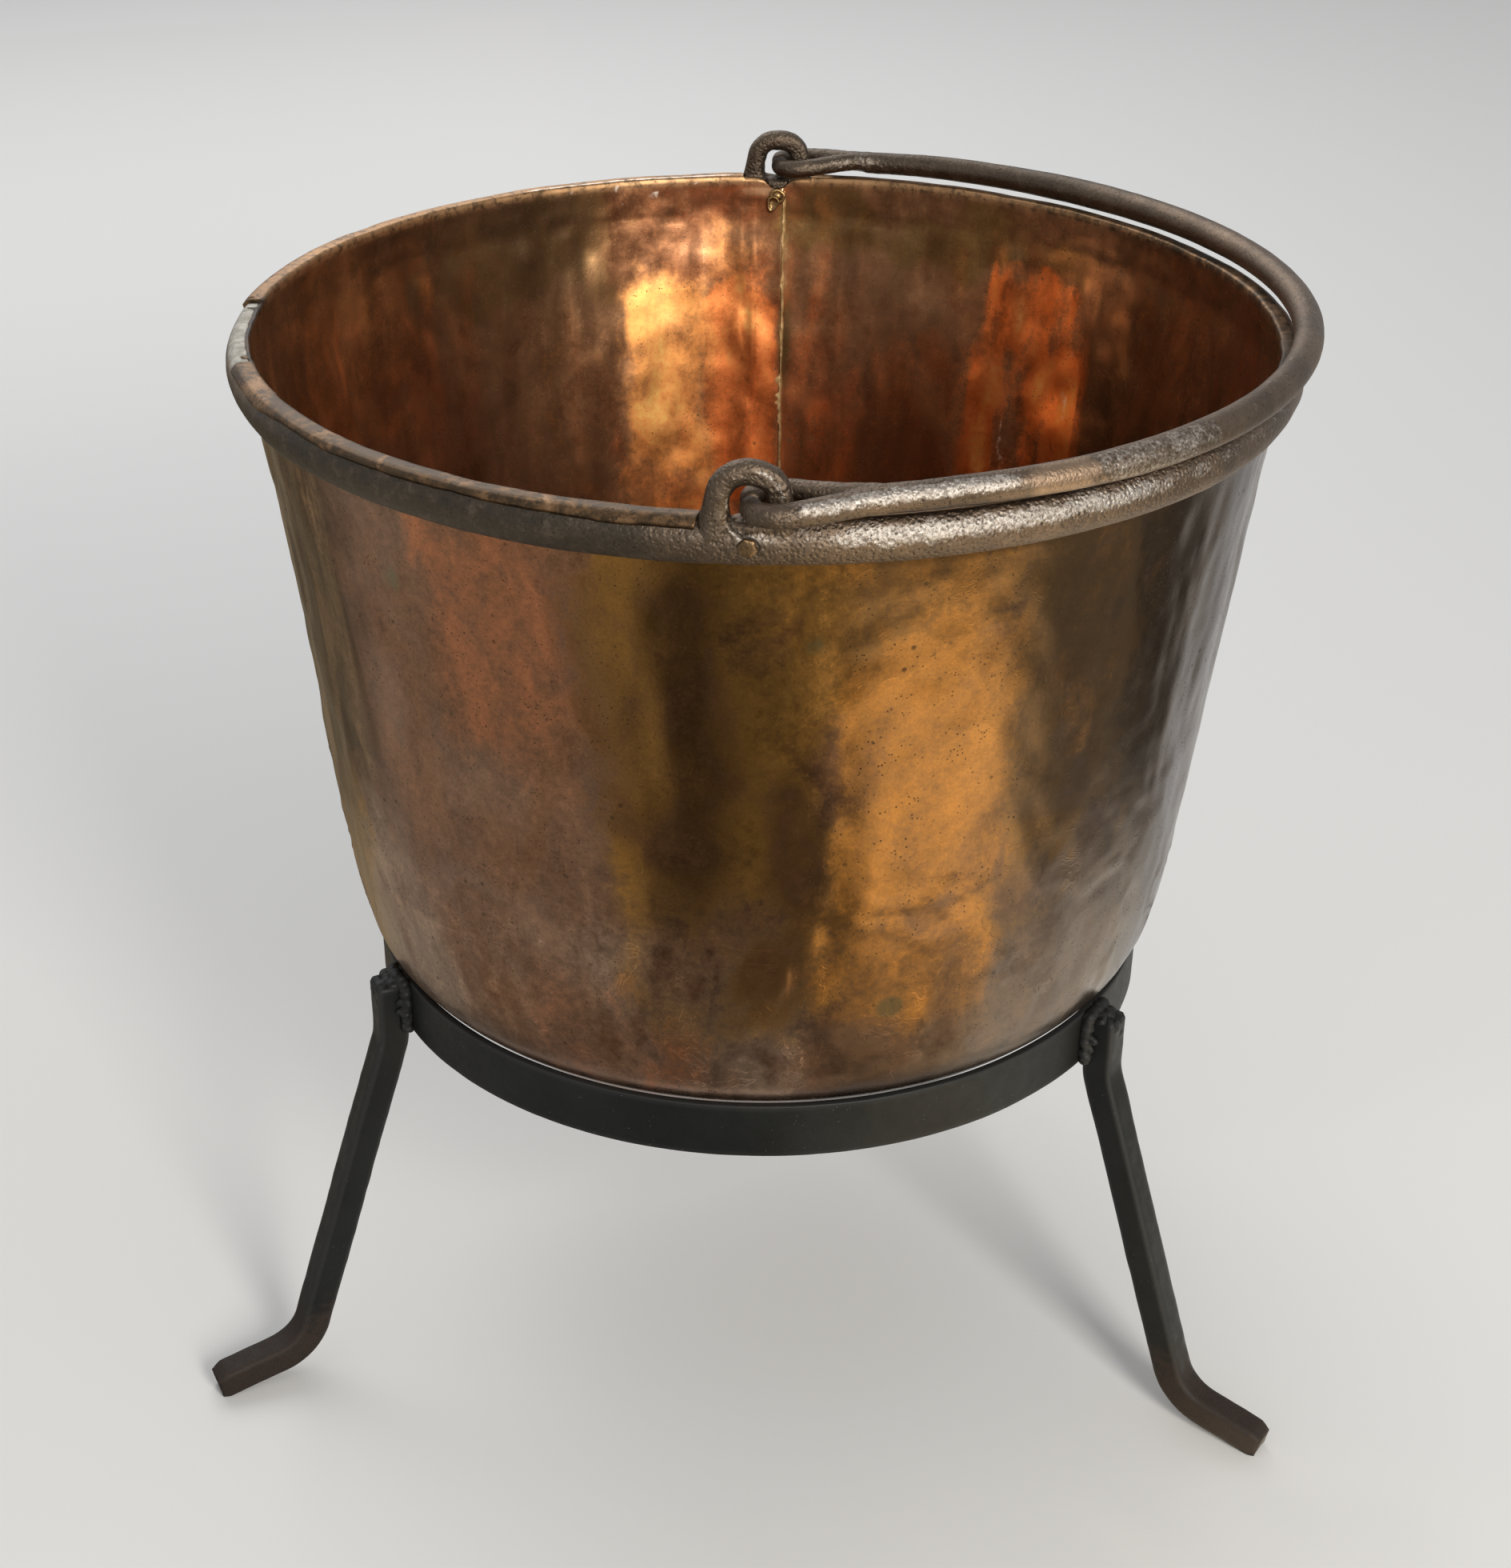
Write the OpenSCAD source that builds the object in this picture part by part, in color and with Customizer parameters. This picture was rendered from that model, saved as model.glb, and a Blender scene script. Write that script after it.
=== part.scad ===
// Laundry copper: a riveted and brazed copper kettle with an iron rim,
// two iron ears and a swinging bail, standing in a three-legged iron stand.
// Millimetres. Z up, z = 0 is the floor, the axis of the kettle is x = y = 0.
// The ears stand on -Y (front) and +Y (rear); the bail lies towards +X.

/* [Kettle] */
// Height of the top of the rolled copper lip above the floor
lip_top = 671; // [600:1:760]
// Thickness of the copper sheet
sheet = 1.6; // [1.2:0.1:2.5]
// Width of the lap seam of the wall, in degrees round the kettle
lap_deg = 4; // [2:0.5:8]
// Place of the edge of the lap inside, in degrees (90 is under the rear ear)
lap_at = 89.2; // [88.8:0.1:89.3]
// Outer radius of the copper where the hoop sits on it
seat_r = 297.7; // [285:0.1:312]

/* [Iron rim] */
// Radius of the crest of the half-round hoop
crest_r = 310.2; // [300:0.1:320]
// Height of the hoop bar
hoop_h = 24.2; // [18:0.1:30]
// Half of the angle taken by the foot of an ear
foot_deg = 3.7; // [3.6:0.1:4.2]

/* [Ears] */
// Centreline radius of the ear loop
ear_r = 15.3; // [13:0.1:18]
// Radius of the bar of the ear loop
ear_bar_r = 5.9; // [5:0.1:7]
// Height of the centre of the ear hole above the lip
ear_up = 8.8; // [6:0.5:12]
// Distance of the ears from the kettle axis
ear_at = 304; // [295:0.5:310]

/* [Bail] */
// Offset of the hinge line from the middle of the ears
pin_x = 1.5; // [0:0.1:2]
// Height of the hinge line above the lip
pin_up = 6.8; // [5:0.1:8]
// Centreline radius of the bow
bow_r = 306; // [300:0.5:312]
// Offset of the centre of the bow
bow_x = 4; // [0:0.5:8]
// Height of the bow above the lip when it lies down
bow_up = 9.6; // [9:0.1:14]
// Radius of the bar at the middle of the bow
bow_bar_r = 8.6; // [7:0.1:10]
// Radius of the drawn-down bar round the eyes
eye_bar_r = 6; // [5:0.1:6]
// Half of the distance between the two strands of an eye
eye_half = 15.5; // [13:0.5:18]

/* [Stand] */
// Outer radius of the hoop of the stand
ring_r = 245; // [230:0.5:260]
// Thickness of the flat bar of the hoop
ring_t = 5; // [4:0.5:8]
// Height of the flat bar of the hoop
ring_h = 35; // [25:1:45]
// Height of the top of the hoop above the floor
ring_top = 283; // [240:1:330]
// Side of the square bar of the legs
leg_s = 19; // [16:0.5:24]
// Slope of the legs from the upright, degrees
leg_slope = 18.2; // [10:0.1:25]
// Slope of the feet below the horizontal, degrees
foot_slope = 12; // [5:0.5:20]
// Turn of the three legs about the axis, degrees
leg_turn = -2.4; // [-10:0.1:10]

/* [Hidden] */
$fn = 96;
H = lip_top;

copper = [0.72, 0.42, 0.24];
brass = [0.80, 0.66, 0.40];
iron = [0.30, 0.28, 0.27];
black = [0.11, 0.12, 0.12];

// ---- kettle wall: outer line of the sheet from the seat of the hoop down
wall_out = [[seat_r, -1.73], [297.65, -9.5], [297.2, -28], [292.7, -60], [284.8, -120],
            [275.4, -200], [266.9, -280], [260.4, -330], [254.6, -360], [249.8, -374],
            [245.3, -381.4], [238.9, -388.8], [232.3, -394.7], [226, -399.4]];
nw = len(wall_out);
// inner line: each point moved in along the normal of the sheet
function unit2(v) = v / norm(v);
function nrm(p, i) = let (n = len(p),
    a = p[max(i - 1, 0)], b = p[min(i + 1, n - 1)], d = unit2(b - a)) [d[1], -d[0]];
function inset(p, t) = [for (i = [0:len(p) - 1]) p[i] + t * nrm(p, i)];
wall_in = inset(wall_out, sheet);
wall_mid = inset(wall_out, sheet / 2);
lap_in = inset(wall_out, 2 * sheet);

// ---- bottom pan: its flange laps inside the foot of the wall
pan_out = concat([for (i = [nw - 4:nw - 1]) wall_in[i]],
                 [[218, -403.6], [206, -408.2], [190, -411.2], [168, -412.6], [0, -412.6]]);
np = len(pan_out);
pan_in = [for (i = [0:np - 1]) i == np - 1 ? [0, -412.6 + sheet] : inset(pan_out, sheet)[i]];

// ---- half-round section of the hoop
hoop_c = crest_r - 14.2;
hoop_z = -13.6;
module hoop_section() {
    intersection() {
        translate([hoop_c, hoop_z]) circle(r = 14.2, $fn = 64);
        translate([seat_r, -1.7 - hoop_h]) square([20, hoop_h - 0.1]);
    }
}

module hoop_arc(from, to) {
    translate([0, 0, H]) rotate([0, 0, from]) rotate_extrude(angle = to - from) hoop_section();
}

// ---- lip: the sheet turned out over the top of the hoop
lip_line = [[seat_r - sheet, -1.1], [296.8, -0.3], [298.2, 0], [303.6, 0], [306, -0.9],
            [308, -2.7], [309.3, -4.9]];
function arc(c, r, a0, a1, n) = [for (i = [0:n]) let (t = a0 + (a1 - a0) * i / n) c + r * [cos(t), sin(t)]];
function back(p) = [for (i = [len(p) - 1:-1:0]) p[i]];

// the lap runs from just under the ear to just above the bottom pan
function mix(a, b, t) = a + t * (b - a);
function lap_line(p) = concat([mix(p[0], p[1], 0.92)], [for (i = [1:nw - 6]) p[i]],
                              [mix(p[nw - 6], p[nw - 5], 0.9)]);

module kettle_wall() {
    color(copper) difference() {
        union() {
            translate([0, 0, H]) rotate_extrude()
                polygon(concat(lip_line, arc([hoop_c, hoop_z], 14.26, 34, 56.2, 4), wall_out, back(wall_in)));
            translate([0, 0, H]) rotate([0, 0, lap_at]) rotate_extrude(angle = lap_deg)
                polygon(concat(lap_line(wall_mid), back(lap_line(lap_in))));
        }
        // the turned-out edge stops short of the ears, and is torn away at the left
        translate([0, 0, H]) for (c = [[-94.4, 8.8], [85.6, 8.8], [178, 21]])
            rotate([0, 0, c[0]]) rotate_extrude(angle = c[1])
                translate([seat_r + 0.2, -9]) square([20, 14]);
        // the sheet is cut down under each ear
        for (a = [-90, 90]) rotate([0, 0, a])
            translate([290, -9, H - 6]) cube([12, 18, 20]);
        // holes of the two ear rivets
        for (a = [-90, 90]) rotate([0, 0, a])
            translate([280, 0, H + hoop_z]) rotate([0, 90, 0]) cylinder(h = 25, r = 3.1, $fn = 32);
    }
}

module kettle_bottom() {
    color(copper) translate([0, 0, H]) rotate_extrude()
        polygon(concat(pan_out, [for (i = [np - 1:-1:0]) pan_in[i]]));
}

// run of braze along the edge of the lap inside the kettle
module seam_braze() {
    color(brass) translate([0, 0, H]) rotate([0, 0, lap_at - 0.45]) rotate_extrude(angle = 0.45)
        polygon(concat([for (i = [1:nw - 5]) wall_in[i]],
                       [for (i = [nw - 5:-1:1]) (wall_in[i] + 2 * lap_in[i]) / 3]));
}

// fillet of braze where the flange of the pan ends on the wall
module bottom_braze() {
    color(brass) translate([0, 0, H]) rotate_extrude()
        polygon([pan_out[0], pan_in[0], wall_in[nw - 4] + 0.35 * (wall_in[nw - 5] - wall_in[nw - 4])]);
}

module rim_hoop_left() { color(iron) hoop_arc(90 + foot_deg, 270 - foot_deg); }
module rim_hoop_right() { color(iron) hoop_arc(-90 + foot_deg, 90 - foot_deg); }

// ---- ear: a loop, its foot in line with the hoop, and a tang over the sheet
module ear(a) {
    rotate([0, 0, a]) color(iron) difference() {
        union() {
            // foot with the section of the hoop
            translate([0, 0, H]) rotate([0, 0, -foot_deg]) rotate_extrude(angle = 2 * foot_deg)
                hoop_section();
            // loop
            translate([ear_at, 0, H + ear_up]) rotate([0, 90, 0]) rotate_extrude()
                translate([ear_r, 0]) circle(r = ear_bar_r, $fn = 40);
            // shoulder between the loop and the foot
            translate([seat_r + 0.3, -12.5, H - 8]) cube([11.4, 25, 7]);
            // bridge over the cut edge and tang inside the kettle
            translate([293.1, -8.4, H - 5.4]) cube([10, 16.8, 3.6]);
            translate([292.9, -7, H - 8.2]) cube([2.9, 14, 5]);
        }
        // hole of the rivet
        translate([280, 0, H + hoop_z]) rotate([0, 90, 0]) cylinder(h = 40, r = 3.1, $fn = 32);
        // the hole of the loop stays open
        translate([290, 0, H + ear_up]) rotate([0, 90, 0])
            cylinder(h = 30, r = ear_r - ear_bar_r);
    }
}
module front_ear() { ear(-90); }
module rear_ear() { ear(90); }

// face of the sheet inside the kettle at the two rivets: the rear one goes through the lap
front_face = 295.7;
rear_face = 294.1;

// ---- ear rivet: six-sided head outside, upset end inside
module rivet(a, face) {
    tail = face - 3.4;
    rotate([0, 0, a]) color(copper) translate([0, 0, H + hoop_z]) rotate([0, 90, 0]) {
        translate([0, 0, tail]) cylinder(h = crest_r - tail + 0.2, r = 3.05, $fn = 32);
        translate([0, 0, crest_r]) rotate([0, 0, 15]) cylinder(h = 1.3, r = 4.3, $fn = 6);
        translate([0, 0, tail]) cylinder(h = 1.9, r = 4.6, $fn = 32);
    }
}
module front_rivet() { rivet(-90, front_face); }
module rear_rivet() { rivet(90, rear_face); }

// washer under the upset end, bedded on the sheet
module rove(a, face) {
    rotate([0, 0, a]) color(copper) difference() {
        translate([face - 1.5, 0, H + hoop_z]) rotate([0, 90, 0]) cylinder(h = 1.5, r = 5.3, $fn = 48);
        translate([280, 0, H + hoop_z]) rotate([0, 90, 0]) cylinder(h = 30, r = 3.1, $fn = 32);
    }
}
module front_rove() { rove(-90, front_face); }
module rear_rove() { rove(90, rear_face); }

// ---- straight round bar between two points
module rod(p, q, r) {
    d = q - p;
    translate(p) rotate([0, acos(d[2] / norm(d)), atan2(d[1], d[0])])
        cylinder(h = norm(d), r = r, $fn = 40);
}
module ball(p, r) { translate(p) sphere(r = r, $fn = 40); }

// ---- one end of the bail: the bar runs through the ear and back on itself
module bail_eye(s) {
    c = [pin_x, s * ear_at, H + pin_up];
    corner = 8;
    hy = eye_half - corner;
    far = 24;
    join_p = [bow_x + (bow_r + 1) * cos(81), s * bow_r * sin(81), H + bow_up - 1.0];
    // pin through the hole of the ear
    translate([c[0], c[1] - hy, c[2]]) rotate([-90, 0, 0]) cylinder(h = 2 * hy, r = eye_bar_r, $fn = 40);
    // corners
    translate([c[0] + corner, c[1] + hy, c[2]]) rotate([0, 0, 90])
        rotate_extrude(angle = 90) translate([corner, 0]) circle(r = eye_bar_r, $fn = 40);
    translate([c[0] + corner, c[1] - hy, c[2]]) rotate([0, 0, 180])
        rotate_extrude(angle = 90) translate([corner, 0]) circle(r = eye_bar_r, $fn = 40);
    // strands and the weld where they meet
    for (k = [-1, 1]) {
        rod([c[0] + corner, c[1] + k * eye_half, c[2]], [c[0] + far, c[1] + k * eye_half, c[2]], eye_bar_r);
        ball([c[0] + far, c[1] + k * eye_half, c[2]], eye_bar_r + 0.3);
        rod([c[0] + far, c[1] + k * eye_half, c[2]], join_p, eye_bar_r - 0.1);
    }
    ball(join_p, 8);
}

module bow_part(from, to, r) {
    translate([bow_x, 0, H + bow_up]) rotate([0, 0, from])
        rotate_extrude(angle = to - from) translate([bow_r, 0]) circle(r = r, $fn = 40);
}

module bail() {
    color(iron) {
        bow_part(-46, 46, bow_bar_r);
        for (s = [-1, 1]) {
            bow_part(s > 0 ? 45 : -64, s > 0 ? 64 : -45, bow_bar_r - 0.5);
            bow_part(s > 0 ? 63 : -81, s > 0 ? 81 : -63, bow_bar_r - 1.1);
            bail_eye(s);
        }
    }
}

// ---- stand
module stand_hoop() {
    color(black) translate([0, 0, ring_top - ring_h]) difference() {
        cylinder(h = ring_h, r = ring_r, $fn = 144);
        translate([0, 0, -1]) cylinder(h = ring_h + 2, r = ring_r - ring_t, $fn = 144);
    }
}

// one leg: upright against the hoop, bent out, and bent again into a foot
leg_r0 = ring_r + leg_s / 2;
bend1 = 40;
bend2 = 34;
z1 = ring_top - ring_h - 1;
// end of the first bend
b1r = leg_r0 + bend1 * (1 - cos(leg_slope));
b1z = z1 - bend1 * sin(leg_slope);
// the foot line ends at its tip; its middle height there
tip_r = 388;
tip_z = leg_s / 2 * cos(foot_slope) - 2.4;
// second bend: centre lies above the foot and outside the shank
turn2 = 90 - leg_slope - foot_slope;
// length of the shank from the corner of the two centrelines
corner_r = (tip_z + tan(foot_slope) * tip_r - b1z - b1r / tan(leg_slope)) / (tan(foot_slope) - 1 / tan(leg_slope));
corner_z = b1z - (corner_r - b1r) / tan(leg_slope);
cut2 = bend2 * tan(turn2 / 2);
s2r = corner_r - cut2 * sin(leg_slope);
s2z = corner_z + cut2 * cos(leg_slope);
f2r = corner_r + cut2 * cos(foot_slope);
f2z = corner_z - cut2 * sin(foot_slope);

c1 = [leg_r0 + bend1, z1];
c2 = [s2r + bend2 * cos(leg_slope), s2z + bend2 * sin(leg_slope)];
hs = leg_s / 2;
// side view of the leg: upright, bend, shank, bend, foot with eased top corner
leg_side = concat(
    [[ring_r + leg_s, ring_top - 3]],
    arc(c1, bend1 - hs, 180, 180 + leg_slope, 5),
    arc(c2, bend2 - hs, 180 + leg_slope, 180 + leg_slope + turn2, 10),
    [[tip_r + hs * sin(foot_slope) - 5.5 * cos(foot_slope), tip_z + hs * cos(foot_slope) + 5.5 * sin(foot_slope)],
     [tip_r + (hs - 5) * sin(foot_slope), tip_z + (hs - 5) * cos(foot_slope)],
     [tip_r - hs * sin(foot_slope), tip_z - hs * cos(foot_slope)]],
    back(arc(c2, bend2 + hs, 180 + leg_slope, 180 + leg_slope + turn2, 10)),
    back(arc(c1, bend1 + hs, 180, 180 + leg_slope, 5)),
    [[ring_r, ring_top - 3]]);

module leg_bar() {
    difference() {
        rotate([90, 0, 0]) translate([0, 0, -hs]) linear_extrude(height = leg_s) polygon(leg_side);
        // the underside is worn flat on the floor
        translate([300, -30, -20]) cube([140, 60, 20]);
    }
}
module leg(a) { rotate([0, 0, a]) color(black) leg_bar(); }
module leg_front_left() { leg(210 + leg_turn); }
module leg_front_right() { leg(330 + leg_turn); }
module leg_rear() { leg(90 + leg_turn); }

// ---- weld: lumps down both sides of the leg and over its top
module lump(r0, y, z, r) {
    // a hammered bead has flats, so ten-sided lumps are enough
    translate([ring_r + r0, y, z]) rotate([7, 90, 0]) sphere(r = r, $fn = 10);
}

module weld(a) {
    rotate([0, 0, a]) color(black) difference() {
        union() {
            for (s = [-1, 1]) {
                lump(1.6, s * 11.2, ring_top - ring_h + 5, 5.2);
                lump(2.2, s * 11.6, ring_top - ring_h + 11.5, 5.6);
                lump(1.4, s * 11.4, ring_top - ring_h + 18.5, 5.3);
                lump(2.0, s * 11.2, ring_top - ring_h + 25, 5.6);
                lump(1.6, s * 9.2, ring_top - ring_h + 31, 5.0);
            }
            lump(2.8, -4, ring_top - 0.9, 4.8);
            lump(2.4, 4.2, ring_top - 1.4, 4.9);
            lump(8.4, -3, ring_top - 2.2, 5.0);
            lump(8.0, 4, ring_top - 2.8, 4.6);
        }
        leg_bar();
        // the hoop and the room of the kettle inside it
        translate([0, 0, ring_top - ring_h - 10]) cylinder(h = ring_h + 20, r = ring_r, $fn = 144);
    }
}
module weld_front_left() { weld(210 + leg_turn); }
module weld_front_right() { weld(330 + leg_turn); }
module weld_rear() { weld(90 + leg_turn); }

kettle_wall();
kettle_bottom();
seam_braze();
bottom_braze();
rim_hoop_left();
rim_hoop_right();
front_ear();
rear_ear();
front_rivet();
rear_rivet();
front_rove();
rear_rove();
bail();
stand_hoop();
leg_front_left();
leg_front_right();
leg_rear();
weld_front_left();
weld_front_right();
weld_rear();
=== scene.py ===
"""Laundry copper in its stand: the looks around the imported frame. Metres outside, millimetres inside the helpers."""
import math

import bmesh
import bpy
import numpy as np
from mathutils import Matrix, Vector


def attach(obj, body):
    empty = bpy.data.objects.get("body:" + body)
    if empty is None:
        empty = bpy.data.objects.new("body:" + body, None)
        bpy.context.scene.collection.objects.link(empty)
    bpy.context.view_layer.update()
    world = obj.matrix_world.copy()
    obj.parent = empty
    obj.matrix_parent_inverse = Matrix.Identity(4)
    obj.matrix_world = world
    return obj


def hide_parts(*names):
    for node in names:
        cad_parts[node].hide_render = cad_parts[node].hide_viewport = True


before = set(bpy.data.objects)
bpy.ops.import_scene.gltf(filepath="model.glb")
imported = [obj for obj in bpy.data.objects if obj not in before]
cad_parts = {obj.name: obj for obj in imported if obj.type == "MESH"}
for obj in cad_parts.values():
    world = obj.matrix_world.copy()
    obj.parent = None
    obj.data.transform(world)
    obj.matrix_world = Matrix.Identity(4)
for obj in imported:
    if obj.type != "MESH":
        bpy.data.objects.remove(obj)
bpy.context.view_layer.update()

MM = 0.001
H = 671.0  # top of the lip
SHEET = 1.6
RAD = math.pi / 180


# ------------------------------------------------------------------ noise
def _hash(ix, iy, iz, seed):
    n = (ix * 73856093) ^ (iy * 19349663) ^ (iz * 83492791) ^ (seed * 40503 + 977)
    n &= 0xFFFFFFFF
    n = ((n ^ (n >> 16)) * 0x45D9F3B) & 0xFFFFFFFF
    n = ((n ^ (n >> 16)) * 0x45D9F3B) & 0xFFFFFFFF
    return ((n ^ (n >> 16)) & 0xFFFFFF).astype(np.float64) / float(0xFFFFFF)


def vnoise(p, seed=0):
    """Smooth value noise in -1..1 at points p (..., 3)."""
    p = np.asarray(p, float)
    i = np.floor(p).astype(np.int64)
    f = p - i
    f = f * f * f * (f * (f * 6 - 15) + 10)
    x, y, z = i[..., 0], i[..., 1], i[..., 2]
    fx, fy, fz = f[..., 0], f[..., 1], f[..., 2]
    out = 0
    for dx in (0, 1):
        for dy in (0, 1):
            for dz in (0, 1):
                w = (fx if dx else 1 - fx) * (fy if dy else 1 - fy) * (fz if dz else 1 - fz)
                out = out + w * _hash(x + dx, y + dy, z + dz, seed)
    return out * 2 - 1


def fbm(p, octaves=3, seed=0, gain=0.5):
    p = np.asarray(p, float)
    total, amp, norm = 0, 1.0, 0.0
    for k in range(octaves):
        total = total + amp * vnoise(p * 2.03 ** k + 11.3 * k, seed + 17 * k)
        norm += amp
        amp *= gain
    return total / norm


def cells(p, seed=0):
    """Distances to the nearest and second nearest scattered points."""
    p = np.asarray(p, float)
    i = np.floor(p).astype(np.int64)
    d1 = np.full(p.shape[:-1], 9.0)
    d2 = np.full(p.shape[:-1], 9.0)
    for dx in (-1, 0, 1):
        for dy in (-1, 0, 1):
            for dz in (-1, 0, 1):
                c = i + np.array([dx, dy, dz])
                o = np.stack([_hash(c[..., 0], c[..., 1], c[..., 2], seed + s) for s in (1, 2, 3)], -1)
                d = np.linalg.norm(c + o - p, axis=-1)
                d2 = np.where(d < d1, d1, np.minimum(d2, d))
                d1 = np.minimum(d1, d)
    return d1, d2


def step(a, b, x):
    t = np.clip((np.asarray(x, float) - a) / (b - a), 0, 1)
    return t * t * (3 - 2 * t)


def bell(x, c, w):
    """1 at c, falling to 0 at c +- w."""
    return 1 - step(0, w, np.abs(np.asarray(x, float) - c))


def band(x, a, b, soft):
    return step(a - soft, a + soft, x) * (1 - step(b - soft, b + soft, x))


def wrap(a):
    return (np.asarray(a, float) + 180) % 360 - 180


# ------------------------------------------------------------------ curves
def resample(points, gap, closed=False):
    """Catmull-Rom through the points, then evenly spaced by about gap."""
    p = np.array(points, float)
    if closed:
        ext = np.vstack([p[-1], p, p[0], p[1]])
    else:
        ext = np.vstack([2 * p[0] - p[1], p, 2 * p[-1] - p[-2]])
    fine = []
    for k in range(1, len(ext) - 2):
        p0, p1, p2, p3 = ext[k - 1], ext[k], ext[k + 1], ext[k + 2]
        t0 = 0.0
        t1 = t0 + max(np.linalg.norm(p1 - p0), 1e-6) ** 0.5
        t2 = t1 + max(np.linalg.norm(p2 - p1), 1e-6) ** 0.5
        t3 = t2 + max(np.linalg.norm(p3 - p2), 1e-6) ** 0.5
        t = np.linspace(t1, t2, 24, endpoint=False)[:, None]
        a1 = (t1 - t) / (t1 - t0) * p0 + (t - t0) / (t1 - t0) * p1
        a2 = (t2 - t) / (t2 - t1) * p1 + (t - t1) / (t2 - t1) * p2
        a3 = (t3 - t) / (t3 - t2) * p2 + (t - t2) / (t3 - t2) * p3
        b1 = (t2 - t) / (t2 - t0) * a1 + (t - t0) / (t2 - t0) * a2
        b2 = (t3 - t) / (t3 - t1) * a2 + (t - t1) / (t3 - t1) * a3
        fine.append((t2 - t) / (t2 - t1) * b1 + (t - t1) / (t2 - t1) * b2)
    fine = np.vstack(fine + [ext[-2][None]])
    d = np.r_[0, np.cumsum(np.linalg.norm(np.diff(fine, axis=0), axis=1))]
    n = max(3, int(round(d[-1] / gap)) + 1)
    s = np.linspace(0, d[-1], n)
    out = np.stack([np.interp(s, d, fine[:, k]) for k in range(fine.shape[1])], -1)
    return out[:-1] if closed else out


def polyline(points, gap):
    """Straight pieces, evenly cut, corners kept."""
    p = np.array(points, float)
    out = []
    for a, b in zip(p[:-1], p[1:]):
        n = max(1, int(math.ceil(np.linalg.norm(b - a) / gap)))
        out.append(a + (b - a) * np.linspace(0, 1, n, endpoint=False)[:, None])
    return np.vstack(out + [p[-1:]])


# ------------------------------------------------------------------ meshes
def grid_faces(n, m, wrap_n=False, wrap_m=False):
    i = np.arange(n if wrap_n else n - 1)
    j = np.arange(m if wrap_m else m - 1)
    a, b = np.meshgrid(i, j, indexing="ij")
    a2, b2 = (a + 1) % n, (b + 1) % m
    return np.stack([a * m + b, a2 * m + b, a2 * m + b2, a * m + b2], -1).reshape(-1, 4)


def new_object(name, verts_mm, faces):
    me = bpy.data.meshes.new(name)
    v = np.asarray(verts_mm, float) * MM
    me.from_pydata(v.tolist(), [], faces if isinstance(faces, list) else faces.tolist())
    bm = bmesh.new()
    bm.from_mesh(me)
    bmesh.ops.recalc_face_normals(bm, faces=bm.faces)
    bm.to_mesh(me)
    bm.free()
    me.polygons.foreach_set("use_smooth", np.ones(len(me.polygons), bool))
    me.update()
    ob = bpy.data.objects.new(name, me)
    bpy.context.scene.collection.objects.link(ob)
    return ob


def tube_parts(rings, base=0):
    """Closed tube from rings (n, m, 3), each end closed by a fan to its middle point."""
    n, m, _ = rings.shape
    v = rings.reshape(-1, 3)
    f = [[int(k) + base for k in q] for q in grid_faces(n, m, False, True)]
    ends = []
    for k, r in ((0, rings[0]), (n - 1, rings[-1])):
        ends.append(r.mean(0))
        c = base + n * m + (0 if k == 0 else 1)
        for j in range(m):
            f.append([base + k * m + j, base + k * m + (j + 1) % m, c])
    return np.vstack([v, ends]), f


def tube(name, rings):
    v, f = tube_parts(rings)
    return new_object(name, v, f)


def union_object(name, parts):
    """Several closed shells in one mesh, to be remeshed into one skin."""
    vs, fs, base = [], [], 0
    for rings in parts:
        v, f = tube_parts(rings, base)
        vs.append(v)
        fs += f
        base += len(v)
    return new_object(name, np.vstack(vs), fs)


def frames_along(path, up=(0, 0, 1)):
    """Tangent, side and up-like vectors along a path, turned as little as possible."""
    t = np.gradient(path, axis=0)
    t /= np.linalg.norm(t, axis=1)[:, None]
    up = np.array(up, float)
    a = np.cross(t, up)
    a /= np.maximum(np.linalg.norm(a, axis=1)[:, None], 1e-9)
    b = np.cross(a, t)
    return t, a, b


def sweep(path, ra, rb, up=(0, 0, 1), m=24, power=2.0, round_ends=True):
    """Rings of a rounded bar. ra, rb: half sizes along the side and the up-like vector."""
    path = np.asarray(path, float)
    n = len(path)
    t, a, b = frames_along(path, up)
    ra = np.broadcast_to(np.asarray(ra, float), (n,)).copy()
    rb = np.broadcast_to(np.asarray(rb, float), (n,)).copy()
    power = np.broadcast_to(np.asarray(power, float), (n,))
    if round_ends:
        d = np.r_[0, np.cumsum(np.linalg.norm(np.diff(path, axis=0), axis=1))]
        for dist in (d, d[-1] - d):
            r = np.minimum(ra, rb)
            k = np.clip(dist / r, 0, 1)
            s = np.sqrt(np.clip(1 - (1 - k) ** 2, 0.0004, 1))
            ra, rb = ra * s, rb * s
    ang = np.linspace(0, 2 * np.pi, m, endpoint=False)
    c, s = np.cos(ang), np.sin(ang)
    e = (2 / power)[:, None]
    x = np.sign(c) * np.abs(c) ** e * ra[:, None]
    y = np.sign(s) * np.abs(s) ** e * rb[:, None]
    return path[:, None, :] + x[..., None] * a[:, None, :] + y[..., None] * b[:, None, :]


def remesh(ob, voxel_mm, smooth=3, factor=0.5):
    """One closed skin around everything in ob."""
    mod = ob.modifiers.new("skin", "REMESH")
    mod.mode = "VOXEL"
    mod.voxel_size = voxel_mm * MM
    mod.adaptivity = 0
    sm = ob.modifiers.new("smooth", "SMOOTH")
    sm.factor = factor
    sm.iterations = smooth
    bpy.context.view_layer.update()
    dg = bpy.context.evaluated_depsgraph_get()
    me = bpy.data.meshes.new_from_object(ob.evaluated_get(dg))
    ob.modifiers.clear()
    old = ob.data
    ob.data = me
    bpy.data.meshes.remove(old)
    me.name = ob.name
    me.polygons.foreach_set("use_smooth", np.ones(len(me.polygons), bool))
    return ob


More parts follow.
